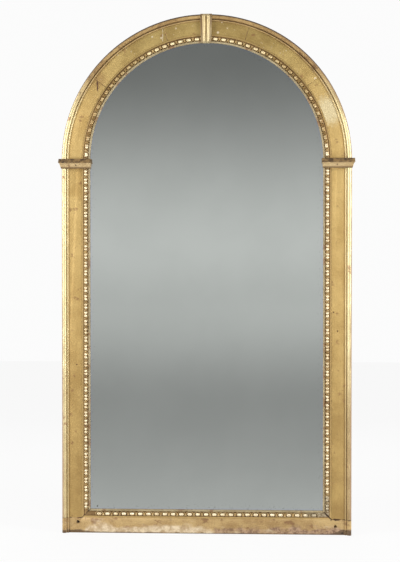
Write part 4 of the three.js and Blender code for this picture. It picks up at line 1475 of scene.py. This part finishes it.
for node in frame["nodes"]:
    if node.startswith(("glass_block", "arch_tongue")):
        recoat(node, PINE)
    elif node.endswith("capital_nail"):
        recoat(node, IRON)
    elif node == "mirror_plate":
        recoat(node, SILVER)

# ---- Studio -------------------------------------------------------------------------------------

CAMERA_PLACE = (0.168, -4.0, 0.832)
CAMERA_YAW = math.radians(2.68)
CAMERA_PITCH = math.radians(-0.77)
FOCAL_PIXELS = 1301.8
PHOTO_HEIGHT = 562
SENSOR = 36

# Levels of the paper behind, of the light from all round, and of the floor's own glow
PAPER = 0.97
SOFT_LIGHT = 0.52
FLOOR_GLOW = 0.9

FLOOR_SIZE = 14
FLOOR_PAPER = (0.85, 0.85, 0.85, 1)
FLOOR_WHITE = (0.99, 0.99, 0.99, 1)

# The wall that the glass mirrors: size, middle, and its greys by height
WALL_SIZE = 8
WALL_PLACE = (0, -1.6, 1)
WALL_BANDS = [(-0.5, 0.63), (0.24, 0.385), (0.66, 0.63), (0.9, 0.71), (1.75, 0.215), (3.0, 0.17)]

# Soft lights: place, power in watts, width and height
LIGHTS = [
    ((-2.4, -1.5, 1.35), 58, 0.8, 2.4),
    ((2.4, -1.5, 1.35), 58, 0.8, 2.4),
    ((0, 2.2, 1.8), 14, 2.0, 1.2),
]
LIGHT_AIM = Vector((0, 0, 0.9))


def camera():
    bpy.ops.object.camera_add(
        location=CAMERA_PLACE, rotation=(math.pi / 2 + CAMERA_PITCH, 0, CAMERA_YAW),
    )
    lens = bpy.context.object
    lens.data.sensor_width = SENSOR
    lens.data.lens = FOCAL_PIXELS / PHOTO_HEIGHT * SENSOR
    bpy.context.scene.camera = lens


def seen_ray(tree):
    """1 for rays that show or mirror a thing, 0 for those that light it."""
    paths = fields(tree, tree.nodes.new("ShaderNodeLightPath"))
    return either(paths["Is Camera Ray"], paths["Is Glossy Ray"], paths["Is Transmission Ray"])


def bare_material(piece, name):
    """Gives a studio piece a material without a surface, and returns what it is built with."""
    material, place, shader = new_material(name)
    place.tree.nodes.remove(shader)
    piece.data.materials.append(material)
    return place, place.tree.nodes["Material Output"].inputs["Surface"]


def floor():
    piece = begin(bpy.ops.mesh.primitive_plane_add, size=FLOOR_SIZE, location=(0, 0, 0))
    settle(piece).name = "studio_floor"
    place, surface = bare_material(piece, "pale_floor")
    tree = place.tree
    mixer = tree.nodes.new("ShaderNodeMixShader")
    connect(mixer.inputs[0], seen_ray(tree) * FLOOR_GLOW)
    connect(mixer.inputs[1], put("BsdfDiffuse", tree=tree, Color=FLOOR_PAPER))
    connect(mixer.inputs[2], put("Emission", tree=tree, Color=FLOOR_WHITE, Strength=1.0))
    connect(surface, Field(tree, mixer.outputs[0]))
    piece.visible_glossy = False


def studio_wall():
    """A wall before the mirror that only reflections see: it gives the glass its bands of grey."""
    piece = begin(
        bpy.ops.mesh.primitive_plane_add, size=WALL_SIZE, location=WALL_PLACE,
        rotation=(math.pi / 2, 0, 0),
    )
    settle(piece).name = "studio_wall"
    place, surface = bare_material(piece, "grey_wall")
    low, high = WALL_BANDS[0][0], WALL_BANDS[-1][0]
    greys = place.tree.nodes.new("ShaderNodeValToRGB")
    ramp = greys.color_ramp
    while len(ramp.elements) < len(WALL_BANDS):
        ramp.elements.new(0.5)
    for element, (level, value) in zip(ramp.elements, WALL_BANDS):
        element.position = (level - low) / (high - low)
        element.color = (value, value, value, 1)
    ramp.interpolation = "EASE"
    connect(greys.inputs[0], ramped(split(place)[2], low, high))
    connect(surface, put("Emission", Color=Field(place.tree, greys.outputs[0]), Strength=1.0))
    for rays in ("camera", "diffuse", "shadow", "transmission"):
        setattr(piece, "visible_" + rays, False)


def soft_light(place, power, width, height):
    """A soft light that faces the middle of the mirror."""
    aim = LIGHT_AIM - Vector(place)
    turn = aim.to_track_quat("-Z", "Y").to_euler()
    bpy.ops.object.light_add(type="AREA", location=place, rotation=turn)
    lamp = bpy.context.object.data
    lamp.shape = "RECTANGLE"
    lamp.size = width
    lamp.size_y = height
    lamp.energy = power


def surroundings():
    world = bpy.data.worlds.new("studio")
    bpy.context.scene.world = world
    world.use_nodes = True
    tree = world.node_tree
    backdrop = tree.nodes["Background"].inputs
    connect(backdrop["Color"], (1, 1, 1, 1))
    connect(backdrop["Strength"], seen_ray(tree) * (PAPER - SOFT_LIGHT) + SOFT_LIGHT)


camera()
floor()
studio_wall()
for light in LIGHTS:
    soft_light(*light)
surroundings()
bpy.context.scene.view_settings.view_transform = "Standard"
